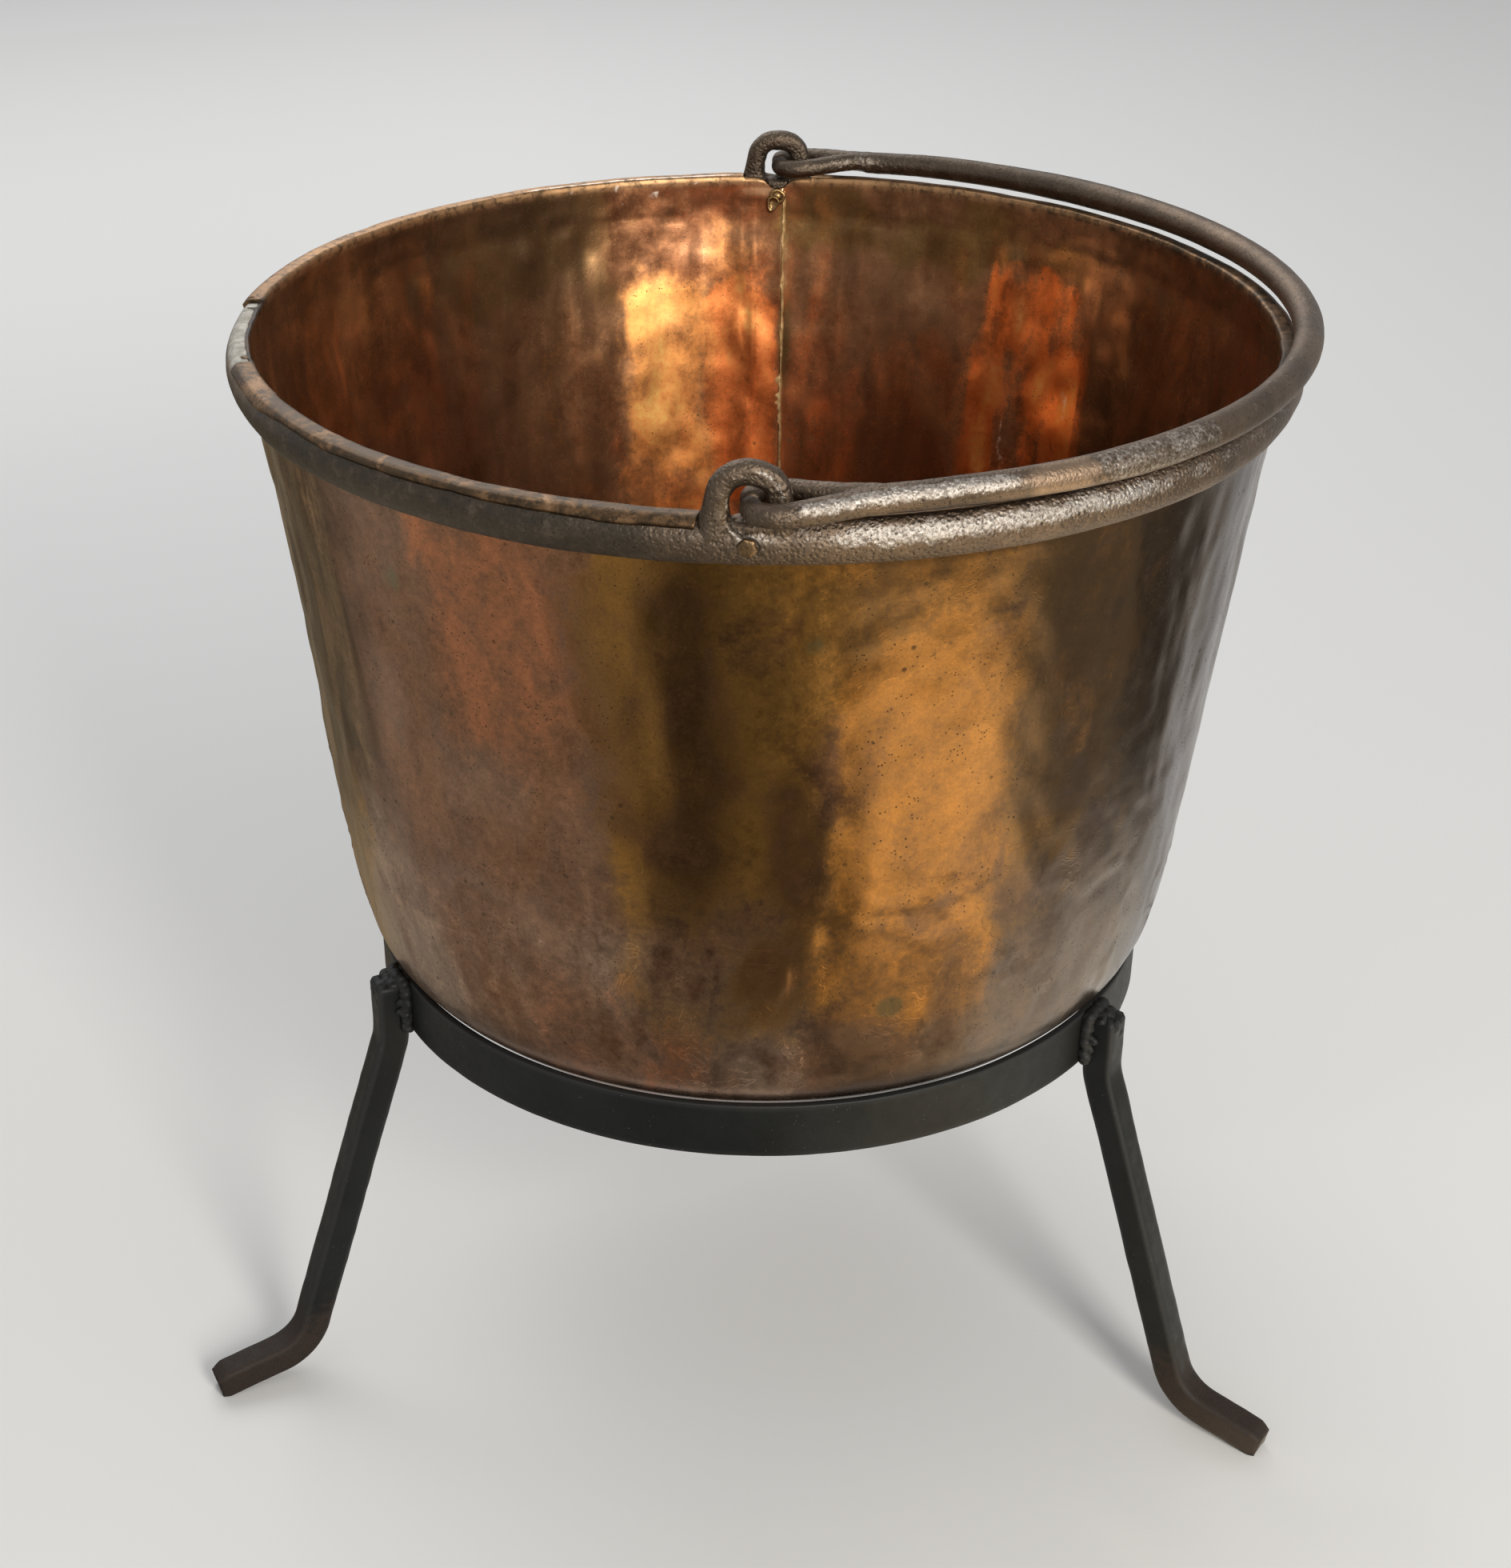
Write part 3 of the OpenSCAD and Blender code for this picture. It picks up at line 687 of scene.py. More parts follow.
def build_wall():
    out, inn = wall_lines()
    az = azimuths()
    n = len(az)
    # closed loop of the section: lip top from the tip inwards, inside down, foot, outside up, under the lip
    lip_top = resample([(309.3, -4.9), (308.0, -2.7), (306.0, -0.9), (303.6, 0.0), (300.8, 0.05), (298.2, 0.0),
                        (296.9, -0.35), (296.1, -1.2)], 1.05)
    under = np.array([(303.9, -1.73), (306.1, -3.35), (307.9, -5.6), (308.7, -5.55)])
    inner = inn[1:]
    outer = out[::-1]
    loop = np.vstack([lip_top, inner, outer, under])
    kind = np.r_[np.zeros(len(lip_top)), np.ones(len(inner)), np.full(len(outer), 2), np.full(len(under), 3)]
    m = len(loop)
    R = np.repeat(loop[None, :, 0], n, 0)
    Z = np.repeat(loop[None, :, 1], n, 0)
    A = np.repeat(az[:, None], m, 1) * RAD
    K = np.repeat(kind[None], n, 0)
    # the lip draws back to the seat where it is cut or torn
    e = lip_reach(az)[:, None]
    seat = 297.75
    lip = (K == 0) | (K == 3)
    beyond = np.maximum(R - seat, 0)
    R = np.where(lip & (R > seat), seat + beyond * np.maximum(e, 0.012), R)
    drop = np.where(lip, (1 - e), 0)
    Z = np.where((K == 0) & (loop[None, :, 0] > seat), np.maximum(Z, -1.5) * step(0, 0.2, e) - 1.1 * (1 - step(0, 0.2, e)), Z) if False else Z
    # with less reach the edge lies flatter on the hoop
    full = np.where(K == 0, np.interp(np.clip((R - seat) / 11.55, 0, 1), [0, 0.1, 0.5, 0.72, 0.9, 1.0],
                                      [-0.2, 0.0, 0.0, -0.9, -2.8, -4.9]), Z)
    Z = np.where((K == 0) & (loop[None, :, 0] > seat + 0.5), full, Z)
    low = np.where(K == 3, np.interp(np.clip((R - seat) / 11.55, 0, 1), [0, 0.54, 0.73, 0.88, 1.0],
                                     [-1.74, -1.74, -3.35, -5.6, -7.4]), Z)
    Z = np.where(K == 3, low, Z)
    bare = 1 - step(0.0, 0.25, e)
    qa = np.stack([np.cos(A) * 300, np.sin(A) * 300, 0 * A], -1)
    bite = np.clip(0.35 + 0.9 * vnoise(qa / 5.5, 31) + 0.5 * vnoise(qa / 2.0, 33), 0, 1.3)
    torn_zone = band(A / RAD, 178.6, 198.8, 0.4)
    Z = np.where(torn_zone > 0.01, np.minimum(Z, -1.0 - 1.5 * bite * torn_zone), Z)
    Z = np.where(K == 0, Z - 0.9 * bare * step(0.5, 1.2, Z + 2.0), Z)
    # the edge of the sheet is cut down under the ears
    a_deg = az[:, None]
    for c in (90.0, 270.0):
        cut = 1 - step(1.55, 1.95, np.abs(wrap(a_deg - c)))
        top = -6.1
        Z = np.where((Z > top) & (K != 3), Z + cut * (top - Z), Z)
        Z = np.where((Z > top) & (K == 3), Z + cut * (top - 0.1 - Z), Z)
    X, Y = R * np.cos(A), R * np.sin(A)
    zz = Z + H
    # waves and dents of the lip
    q = np.stack([X, Y, 0 * X], -1)
    wav = 0.55 * fbm(q / 33, 2, 91) + 0.12 * vnoise(q / 9, 93)
    f1, _ = cells(np.stack([X, Y, zz], -1) / 9.0, 95)
    lump = 0.18 * (0.35 - f1 * f1)
    near_top = step(-15 - 5 * vnoise(q / 25, 99), -1.5, Z) * (K < 1.5)
    zz = zz + np.where(K == 0, (wav * 0.9 + lump) * step(0, 0.3, e) * (0.35 + 0.65 * step(296.5, 299.5, R)), 0)
    dR = np.where(K <= 1, -near_top * (0.20 + 0.95 * fbm(q / 17, 3, 97)) * np.where(K == 0, 1 - step(297.5, 300, R), 1), 0)
    # the sheet itself
    D = dents(X, Y, zz)
    dR = dR + np.where((K == 1) | (K == 2), D, 0)
    dR = dR + np.where(K == 1, inside_extra(X, Y, zz), 0)
    # lap inside: the second thickness, then the joggle back to the line of the wall
    lapped = step(LAP - 0.05, LAP + 0.05, a_deg) * (1 - step(LAP_END, LAP_END + 3.4, a_deg))
    lapped = lapped * (1 - step(-10.6, -8.9, Z)) * step(-376, -372.6, Z)
    dR = dR - np.where(K == 1, SHEET * lapped, 0)
    groove = np.exp(-((a_deg - LAP_END) / 0.22) ** 2) * band(Z, -378, -28, 2)
    dR = dR - np.where(K == 2, 0.55 * groove, 0)
    R = R + dR
    P = np.stack([R * np.cos(A), R * np.sin(A), zz], -1)
    ob = new_object("kettle_wall_sheet", P.reshape(-1, 3), grid_faces(n, m, True, True))

    # ---- fields of patina, some of them painted reflections, highlights and shade
    u = wrap(np.degrees(A) + 90)      # 0 front, + right
    v = wrap(90 - np.degrees(A))      # 0 rear, + right
    z = zz
    pn = np.stack([X, Y, z * 0.5], -1)
    wob = 4.2 * fbm(pn / 52, 3, 111)      # degrees of wander
    wobz = 34 * fbm(np.stack([X, Y, z], -1) / 55, 3, 113)
    uo, zo = u + wob, z + wobz
    outer_side = (K >= 2)
    o = {}
    # Outside, on the front the fields follow the mirrored room. The gold band is a painted reflection of a lit floor
    # patch over patina. The dark strip left of it and the olive on the right are painted reflections of unlit floor.
    # The dark at the left edge is a painted reflection of shaded floor. At the back the fields are patina.
    o["gold"] = 1.15 * band(u + 0.35 * wob, 9.8, 30.0, 2.2) * band(zo, 432, 596, 14)
    o["gold"] = np.maximum(o["gold"], 0.50 * band(u + 0.5 * wob, 12.0, 30.0, 4.0) * band(zo, 560, 655, 18))
    o["gold"] = np.maximum(o["gold"], 0.70 * band(u + 0.5 * wob, 8.0, 30.0, 3.5) * band(zo, 335, 450, 20))
    o["gold"] = np.maximum(o["gold"], 0.34 * band(uo, -4, 34, 7) * band(z, 628, 646, 5))
    o["gold"] = np.maximum(o["gold"], 0.28 * band(uo, 36, 50, 5) * band(zo, 520, 640, 30))
    for c, w, z0, z1, k in ((112, 7, 370, 610, 0.62), (-128, 8, 340, 600, 0.58), (172, 6, 420, 625, 0.45), (-168, 5, 330, 450, 0.35)):
        o["gold"] = np.maximum(o["gold"], k * band(wrap(uo - c), -w, w, 3.5) * band(zo, z0, z1, 26))
    o["dark"] = 0.88 * band(u + 0.6 * wob, -10.0, -2.0, 4.0) * band(zo, 430, 630, 34)
    o["dark"] = np.maximum(o["dark"], 0.55 * band(uo, -17, -9, 3.5) * band(zo, 470, 640, 26))
    o["dark"] = np.maximum(o["dark"], 0.70 * band(u + 0.4 * wob, 1.5, 9.0, 3.0) * band(zo, 425, 520, 22))
    o["dark"] = np.maximum(o["dark"], 0.40 * band(uo, -6, 8, 6) * band(zo, 350, 430, 30))
    o["dark"] = np.maximum(o["dark"], 0.60 * band(uo, 47, 67, 3) * band(zo, 455, 655, 24))
    o["dark"] = np.maximum(o["dark"], 0.35 * band(uo, 26, 48, 4) * band(zo, 470, 650, 24))
    o["dark"] = np.maximum(o["dark"], 0.95 * band(u + 0.5 * wob + (z - 560) * 0.035, -64, -51.0, 0.9) * band(zo, 456, 668, 14))
    o["dark"] = np.maximum(o["dark"], 0.70 * band(uo, -90, -64, 3) * band(zo, 470, 668, 24))
    for c, w, z0, z1, k in ((92, 10, 380, 640, 0.7), (140, 15, 360, 650, 0.8), (-104, 11, 350, 640, 0.75), (-156, 12, 350, 650, 0.8)):
        o["dark"] = np.maximum(o["dark"], k * band(wrap(uo - c), -w, w, 4.5) * band(zo, z0, z1, 34))
    o["olive"] = 0.95 * band(uo, -15, 10.0, 4.0) * band(zo, 330, 660, 22) * (0.42 + 0.58 * step(395, 475, zo))
    o["olive"] = np.maximum(o["olive"], 0.95 * band(uo, 25, 64, 4.0) * band(zo, 450, 662, 36))
    o["olive"] = np.maximum(o["olive"], 0.50 * band(uo, 24, 60, 6.0) * band(zo, 400, 470, 36))
    o["olive"] = np.maximum(o["olive"], 0.80 * band(uo, -95, -58, 3.0))
    o["olive"] = np.maximum(o["olive"], 0.90 * band(uo, 2, 32, 4.0) * band(zo, 574, 660, 12))
    for c, w, k in ((100, 26, 0.8), (150, 16, 0.7), (-118, 22, 0.8), (-160, 14, 0.7)):
        o["olive"] = np.maximum(o["olive"], k * band(wrap(uo - c), -w, w, 6) * band(zo, 340, 655, 40))
    o["soft"] = 0.80 * band(uo, 27, 88, 8) * (1 - step(360, 470, zo))
    o["soft"] = np.maximum(o["soft"], 0.45 * band(uo, -52, -28, 8) * (1 - step(340, 430, zo)))
    o["soft"] = np.maximum(o["soft"], 0.85 * band(uo, 66, 92, 2.0))
    o["soft"] = np.maximum(o["soft"], 0.60 * band(uo, -92, -52, 5) * (1 - step(400, 470, zo)))
    o["soft"] = np.maximum(o["soft"], 0.42 * band(uo, -22, 8, 5) * (1 - step(380, 450, zo)))
    o["red"] = 0.55 * band(uo, -38, -15, 5) * band(zo, 500, 655, 26)
    o["red"] = np.maximum(o["red"], 0.40 * band(uo, -30, -6, 7) * (1 - step(330, 380, zo)))
    o["brass"] = 0.75 * np.exp(-((np.degrees(A) - LAP_END) / 0.5) ** 2)
    o["green"] = 0.95 * bell(np.hypot((u - 17.5) * 4.6, z - 358), 0, 15) + 0.6 * bell(np.hypot((u - 6.5) * 4.6, z - 596), 0, 16)
    o["green"] = o["green"] + 0.55 * bell(np.hypot((u + 40) * 4.6, z - 596), 0, 26)
    # side: upright streaks at the edges and the back; at the left edge partly a painted reflection of shaded floor.
    o["side"] = np.maximum(0.95 * band(u + 0.35 * wob, -92, -51.5, 1.6) * band(zo, 440, 672, 18), 0.5 * band(u, 60, 74, 3.5) * band(z, 400, 650, 30))
    o["side"] = np.maximum(o["side"], 0.26 * step(100, 112, np.abs(u)) * band(zo, 440, 650, 30) * (0.5 + 0.5 * vnoise(pn / 60, 115)))
    o["creased"] = 0.15 + 0.55 * (1 - step(380, 450, zo)) + 0 * u
    # inside
    wi = v + 0.75 * wob
    i = {}
    # Inside, gold is a painted highlight where the window light falls on the rear wall, with bright painted spots in
    # the flame. Soft darkens the top of it. Red paints the orange reflection beside it and the flame-like reflection on
    # the right wall. Dark is patina and painted shade on the walls the light does not reach.
    i["gold"] = 1.15 * band(v + 0.9 * wob, -20.0, -8.5, 2.4) * band(zo, 468, 618, 14) * (1 - 0.2 * step(540, 575, zo))
    i["gold"] = np.maximum(i["gold"], 0.62 * band(v + 1.3 * wob, -19.5, -8.0, 3.0) * band(zo, 395, 500, 20) * (0.75 + 0.6 * vnoise(pn / 15, 149)))
    i["gold"] = np.maximum(i["gold"], 0.22 * band(wi, -9.0, -0.5, 3.0) * band(zo, 560, 640, 16))
    i["gold"] = np.maximum(i["gold"], 0.10 * band(wi, -36, -22, 4.0) * band(zo, 480, 600, 26))
    i["gold"] = np.maximum(i["gold"], 0.7 * band(wrap(wi - 165), -9, 9, 4) * band(zo, 380, 600, 24))
    i["gold"] = np.maximum(i["gold"], 0.5 * band(wrap(wi - 120), -6, 6, 4) * band(zo, 380, 600, 24))
    i["soft"] = 1.0 * band(wi, -23.5, -0.5, 2.2) * band(zo, 612, 668, 10)
    i["red"] = 1.1 * band(v + 0.5 * wob, -9.5, -0.1, 1.8) * band(zo, 450, 604, 14)
    flame = np.stack([v / 2.6, z / 46.0, 0 * z], -1)
    lick = 0.74 + 1.05 * fbm(flame, 3, 117)
    spread = np.interp(z, [430, 640], [3.5, 0.0])
    i["red"] = np.maximum(i["red"], 1.1 * lick * band(v, 29.5 - 0.6 * spread, 45.5 + spread, 1.8) * band(zo, 425, 634 - 26 * step(36, 43, v), 12))
    i["gold"] = np.maximum(i["gold"], 0.9 * step(0.75, 1.15, lick) * band(v, 30, 45, 2) * band(zo, 450, 600, 20))
    i["red"] = np.maximum(i["red"], 0.40 * band(wi, 1, 30, 6) * band(zo, 400, 560, 34))
    i["red"] = np.maximum(i["red"], 0.35 * band(wi, -90, -45, 10) * band(zo, 400, 600, 34))
    i["dark"] = 0.85 * band(wi, -112, -42, 10) * (0.6 + 0.4 * step(540, 640, zo))
    i["dark"] = np.maximum(i["dark"], 0.55 * band(wi, -50, -24, 5) * (0.5 + 0.5 * step(520, 640, zo)))
    i["dark"] = np.maximum(i["dark"], (0.10 + 0.42 * (1 - step(490, 560, zo))) * band(wi, 1.5, 29, 4))
    i["dark"] = np.maximum(i["dark"], 0.95 * band(wi, 48, 125, 4.5))
    i["dark"] = np.maximum(i["dark"], 0.6 * band(wi, 125, 150, 8))
    i["dark"] = np.maximum(i["dark"], 0.6 * band(wi, -150, -112, 8))
    i["olive"] = 0.85 * band(wi, 0, 44, 5) * band(zo, 618, 664, 10)
    i["olive"] = np.maximum(i["olive"], 0.7 * band(wi, -75, -22, 8) * band(zo, 606, 668, 12))
    i["brass"] = 0.5 * band(v, 0.0, 2.6, 0.7) * band(zo, 520, 664, 14)
    i["creased"] = 0 * u
    i["glow"] = np.maximum(i["gold"], i["red"] * (0.72 * band(v, -14, 1, 2) + 0.50 * band(v, 24, 52, 4)))
    # the turned edge of the sheet
    lip_k = np.where(K == 0, 1.0, np.where((K == 1) & (Z > -8), step(-8, -4, Z), 0.0))
    lip_k = np.where(K == 3, 1.0, lip_k)
    azd = np.degrees(A) % 360
    right_front = band(u, 8, 78, 5)
    # black: painted shade under the bail on the right front, under the turned edge and in the notches of the torn
    # place.
    black = 0.75 * right_front * (K != 1) + 0.8 * band(azd, 177.4, 199.6, 0.8) * (R < 298.4) * (Z > -3)
    black = np.maximum(black, 0.35 * (K == 3) * (1 - band(u, -84, -52, 5)))
    for c, w in ((178.5, 0.55), (179.9, 0.5), (181.1, 0.35), (196.2, 0.45), (198.4, 0.5)):
        black = np.maximum(black, 0.95 * bell(azd, c, w) * (Z > -6) * (R < 300.5 + 4 * vnoise(qa / 2.0, 35)))
    # Painted highlights: a bright line along the inner edge of the far lip, spots under the lip and specks in the flame
    # inside.
    glint = 1.0 * band(v + 2.5 * vnoise(pn / 30, 141), -33, -3.4, 2.5) * bell(R, 298.2, 2.4) * (K == 0)
    glint = glint * (0.85 + 0.40 * vnoise(pn / 7, 143))
    under_lip = band(v, -33, -4, 3) * band(z, 655, 668, 2.5) * (K == 1) * (Z < -2)
    glint = np.maximum(glint, 0.75 * under_lip * step(0.42, 0.72, vnoise(np.stack([X, Y, z * 0.8], -1) / 5.5, 145)))
    lickz = band(v, 30, 46, 2) * band(z, 440, 590, 20) * (K == 1)
    glint = np.maximum(glint, 0.42 * lickz * step(0.50, 0.80, vnoise(np.stack([X, Y, z * 0.45], -1) / 7.5, 147)))
    z0 = 0.0 * u
    for name in ("gold", "dark", "olive", "soft", "red", "brass", "green", "side", "creased", "glow"):
        attribute(ob, name, np.where(outer_side, o.get(name, z0), i.get(name, z0)).ravel())
    attribute(ob, "lip", lip_k.ravel())
    attribute(ob, "black", black.ravel())
    # far: where the lip is painted lighter, painted light on its top.
    attribute(ob, "far", band(v, -82, 40, 14).ravel())
    attribute(ob, "glint", glint.ravel())
    satin = 0.28 * band(uo, -60, -12, 8) + 0.25 * band(uo, 25, 60, 8) * (1 - step(380, 460, zo))
    attribute(ob, "dull", np.where(outer_side, satin, 0.1).ravel() + 0.8 * lip_k.ravel())
    ob.data.materials.append(MAT_OUT)
    ob.data.materials.append(MAT_IN)
    quads = grid_faces(n, m, True, True)
    # recalc keeps the order of the faces, so the section index of each face is known
    col = quads[:, 0] % m
    first_in, last_in = len(lip_top), len(lip_top) + len(inner) - 1
    ob.data.polygons.foreach_set("material_index", ((col >= first_in) & (col <= last_in)).astype(np.int32))
    ob.data.update()
    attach(ob, "kettle")
    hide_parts("kettle_wall")
    return ob


def build_bottom():
    out, inn = wall_lines()
    w_in = np.array(offset(np.array(WALL), SHEET))
    under = resample([tuple(w_in[10] + [-0.05, 0]), tuple(w_in[11] + [-0.05, 0.03]), tuple(w_in[12] + [-0.05, 0.05]),
                      tuple(w_in[13] + [-0.05, 0.08]), (218, -403.6), (206, -408.2), (190, -411.2), (168, -412.6),
                      (120, -412.7), (70, -412.7), (24, -412.7), (3.0, -412.7)], 4.2)
    over = offset(under, SHEET)
    over[-1, 0] = under[-1, 0]
    az = np.arange(0, 360, 1.5)
    loop = np.vstack([under, over[::-1]])
    n, m = len(az), len(loop)
    A = np.repeat(az[:, None], m, 1) * RAD
    R = np.repeat(loop[None, :, 0], n, 0)
    Z = np.repeat(loop[None, :, 1], n, 0)
    X, Y = R * np.cos(A), R * np.sin(A)
    p = np.stack([X, Y, 0 * X], -1)
    f1, _ = cells(p / 24.0, 17)
    flat = 1 - step(150, 215, R)
    Zd = (0.5 * fbm(p / 70, 2, 15) + 0.5 * (f1 * f1 - 0.3) + 0.9 * fbm(p / 160, 1, 16) + 0.35) * flat
    Z = Z + Zd
    P = np.stack([X, Y, Z + H], -1).reshape(-1, 3)
    f = grid_faces(n, m, True, False).tolist()
    # close the rim of the pan and the small middle
    for i in range(n):
        j = (i + 1) % n
        f.append([i * m, j * m, j * m + m - 1, i * m + m - 1])
    k = len(under)
    base = len(P)
    zc = H + Z[:, k - 1].mean()
    P = np.vstack([P, [[0, 0, zc], [0, 0, zc + SHEET]]])
    for i in range(n):
        j = (i + 1) % n
        f = [q for q in f] if False else f
        f.append([i * m + k - 1, j * m + k - 1, base])
        f.append([i * m + k, j * m + k, base + 1])
    # the strip between the last points of both lines is replaced by the two fans
    strip = set((i * m + k - 1) for i in range(n))
    f = [q for q in f if not (len(q) == 4 and q[0] in strip and q[3] == q[0] + 1)]
    ob = new_object("kettle_bottom_pan", P, f)
    z = P[:, 2]
    side = np.r_[np.tile(np.r_[np.zeros(k), np.ones(m - k)], n), 0, 1]
    nz = fbm(P / 60, 2, 121)
    sooty = side < 0.5
    attribute(ob, "dark", np.where(sooty, 1.0, 0.5 + 0.4 * nz))
    attribute(ob, "gold", np.where(sooty, 0.0, 0.3 + 0.5 * nz))
    attribute(ob, "red", np.where(sooty, 0.15, 0.4 - 0.4 * nz))
    attribute(ob, "black", np.where(sooty, 0.35 + 0.35 * nz, 0.0))
    for name in ("soft", "olive", "brass", "green", "side", "lip", "glint"):
        attribute(ob, name, 0 * z)
    attribute(ob, "creased", 0.4 + 0 * z)
    attribute(ob, "dull", np.where(sooty, 1.0, 0.15))
    ob.data.materials.append(MAT_IN)
    ob.data.materials.append(MAT_OUT)
    idx = np.array([1 if max(q) < base and all(((t % m) < k) for t in q) or (base in q) else 0 for q in f], np.int32)
    ob.data.polygons.foreach_set("material_index", idx)
    ob.data.update()
    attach(ob, "kettle")
    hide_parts("kettle_bottom")
    return ob


def inner_radius(az_deg, z):
    """Radius of the inner face of the finished wall, without the lap."""
    w = np.array(WALL)
    o = np.interp(-(z - H), -w[:, 1], w[:, 0])
    slope = np.gradient(w[:, 0], w[:, 1])
    s = np.interp(-(z - H), -w[:, 1], slope)
    r = o - SHEET / np.cos(np.arctan(s))
    a = np.asarray(az_deg) * RAD
    x, y = r * np.cos(a), r * np.sin(a)
    return r + dents(x, y, z) + inside_extra(x, y, z)


def build_seam_braze():
    """A ragged bead in the corner of the lap, with rough scars beside it."""
    z = np.arange(299.5, 661.0, 1.15)
    n, m = len(z), 11
    t = np.linspace(0, 1, m)
    q = np.stack([0 * z, 0 * z, z], -1)
    width = 0.30 + 0.10 * vnoise(q / 12, 5) + 0.06 * vnoise(q / 4, 6)
    left = np.zeros(n)
    for c, w, a in ((517, 11, 1.0), (531, 6, 0.9), (504, 5, 0.7), (598, 5, 0.35), (560, 8, 0.4), (455, 9, 0.5),
                    (628, 4, 0.4), (400, 7, 0.5)):
        left = np.maximum(left, a * bell(z, c, w) * (0.65 + 0.5 * vnoise(q / 1.9, 61)))
    left = np.clip(left, 0, 1) * 0.95
    P = []
    for j, tt in enumerate(t):
        # from the wall on the right, up the edge of the lap, onto the lap
        a = LAP - width * (1 - min(tt / 0.55, 1)) + (left * (tt - 0.55) / 0.45 if tt > 0.55 else 0)
        rise = SHEET * np.clip(tt / 0.5, 0, 1) ** 0.8 + 0
        bulge = 0.55 * math.sin(math.pi * tt) + 0.05
        r = inner_radius(a, z) - np.where(np.asarray(a) < LAP + 0.01, rise * 0.95, SHEET) - bulge * (0.7 + 0.5 * vnoise(
            np.stack([0 * z + j * 0.8, 0 * z, z / 1.7], -1), 9)) * (1 if tt < 0.99 else 0.1)
        P.append(np.stack([r * np.cos(a * RAD), r * np.sin(a * RAD), z], -1))
    P = np.stack(P, 1)
    # back face sunk a little into the sheet
    mid = 0.5 * (P[:, 0] + P[:, -1])
    rad = mid[:, :2] / np.linalg.norm(mid[:, :2], axis=1)[:, None]
    back = P[:, [-1, 0]].copy()
    back[..., :2] += rad[:, None, :] * 0.9
    rings = np.concatenate([P, back], 1)
    ob = tube("seam_braze_bead", rings)
    ob.data.materials.append(MAT_BRAZE)
    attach(ob, "kettle")
    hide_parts("seam_braze")
    return ob


def build_bottom_braze():
    w_in = offset(np.array(WALL), SHEET)
    a, b = w_in[10], w_in[9]
    pan_in = a + (w_in[10] - np.array(WALL[10])) / SHEET * SHEET
    tip = a + 0.35 * (b - a)
    az = np.arange(0, 360, 1.0)
    n, m = len(az), 8
    A = az * RAD
    q = np.stack([np.cos(A) * 240, np.sin(A) * 240, 0 * A], -1)
    rings = np.zeros((n, m, 3))
    for j in range(m):
        t = j / (m - 1)
        if j < m - 1:
            c = pan_in * (1 - t * 7 / 6) + tip * (t * 7 / 6)
            bul = 0.5 * math.sin(math.pi * t * 7 / 6) * (1 + 0.5 * vnoise(q / 5, 8 + j))
        else:
            c, bul = a + [0.3, 0.2], 0 * A
        r = c[0] - bul * 0.8
        rings[:, j] = np.stack([r * np.cos(A), r * np.sin(A), c[1] + H + bul * 0.5], -1)
    ob = new_object("bottom_braze_fillet", rings.reshape(-1, 3), grid_faces(n, m, True, True))
    ob.data.materials.append(MAT_BRAZE)
    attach(ob, "kettle")
    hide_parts("bottom_braze")
    return ob


# ------------------------------------------------------------------ iron
HC, HZ, HR = 296.0, -13.6, 14.2


def hoop_section():
    """Half-round bar, corners eased. Points (r, z) round the section."""
    a0, a1 = 53.0, -57.0
    arc = [(HC + HR * math.cos(t * RAD), HZ + HR * math.sin(t * RAD)) for t in np.linspace(a0, a1, 25)]
    pts = [(297.75, -13.6), (297.75, -4.5), (297.9, -2.5), (298.8, -1.9), (301.6, -1.85)] + arc + \
          [(301.2, -25.85), (298.8, -25.8), (297.9, -25.2), (297.75, -23)]
    return np.array(pts)


def hoop_surface(P):
    """Forged unevenness of the hoop, a function of place only, so that hoop and ear feet match."""
    r = np.hypot(P[..., 0], P[..., 1])
    out = step(298.3, 300.5, r)
    u = wrap(np.degrees(np.arctan2(P[..., 1], P[..., 0])) + 90)
    rough = 0.35 + 0.65 * band(u, 2, 58, 8) + 0.25 * band(u, -8, 2, 4)
    f1, _ = cells(P / np.array([26.0, 26.0, 18.0]), 201)
    d = 0.22 * fbm(P / 16, 2, 203) + 0.14 * rough * fbm(P / 4.2, 2, 205) + 0.20 * (f1 * f1 - 0.35) * 0.6
    d = d + 0.35 * fbm(P / 60, 1, 207)
    top = step(-4.5, -2.2, P[..., 2] - H)  # the lip lies here
    return out * np.where(top > 0.5, np.minimum(d, 0.0) - 0.05, d - 0.08)


def section_normals(sec):
    d = np.roll(sec, -1, 0) - np.roll(sec, 1, 0)
    nrm = np.stack([d[:, 1], -d[:, 0]], -1)
    nrm /= np.linalg.norm(nrm, axis=1)[:, None]
    c = sec.mean(0)
    if ((sec - c) * nrm).sum() < 0:
        nrm = -nrm
    return nrm


def hoop_rings(a, b, gap=0.5, dip=False):
    sec = hoop_section()
    nrm = section_normals(sec)
    az = np.linspace(a, b, int(abs(b - a) / gap) + 1)
    A = az[:, None] * RAD
    R = sec[None, :, 0] + 0 * A
    Z = sec[None, :, 1] + 0 * A
    P = np.stack([R * np.cos(A), R * np.sin(A), Z + H], -1)
    d = hoop_surface(P)
    R, Z = R + d * nrm[None, :, 0], Z + d * nrm[None, :, 1]
    if dip:
        off_c = np.minimum(np.abs(wrap(az - 90)), np.abs(wrap(az - 270)))[:, None]
        k = 1 - 0.05 * (1 - step(3.35, 3.98, off_c))
        R, Z = 297.75 + (R - 297.75) * k, HZ + (Z - HZ) * k
    return np.stack([R * np.cos(A), R * np.sin(A), Z + H], -1)


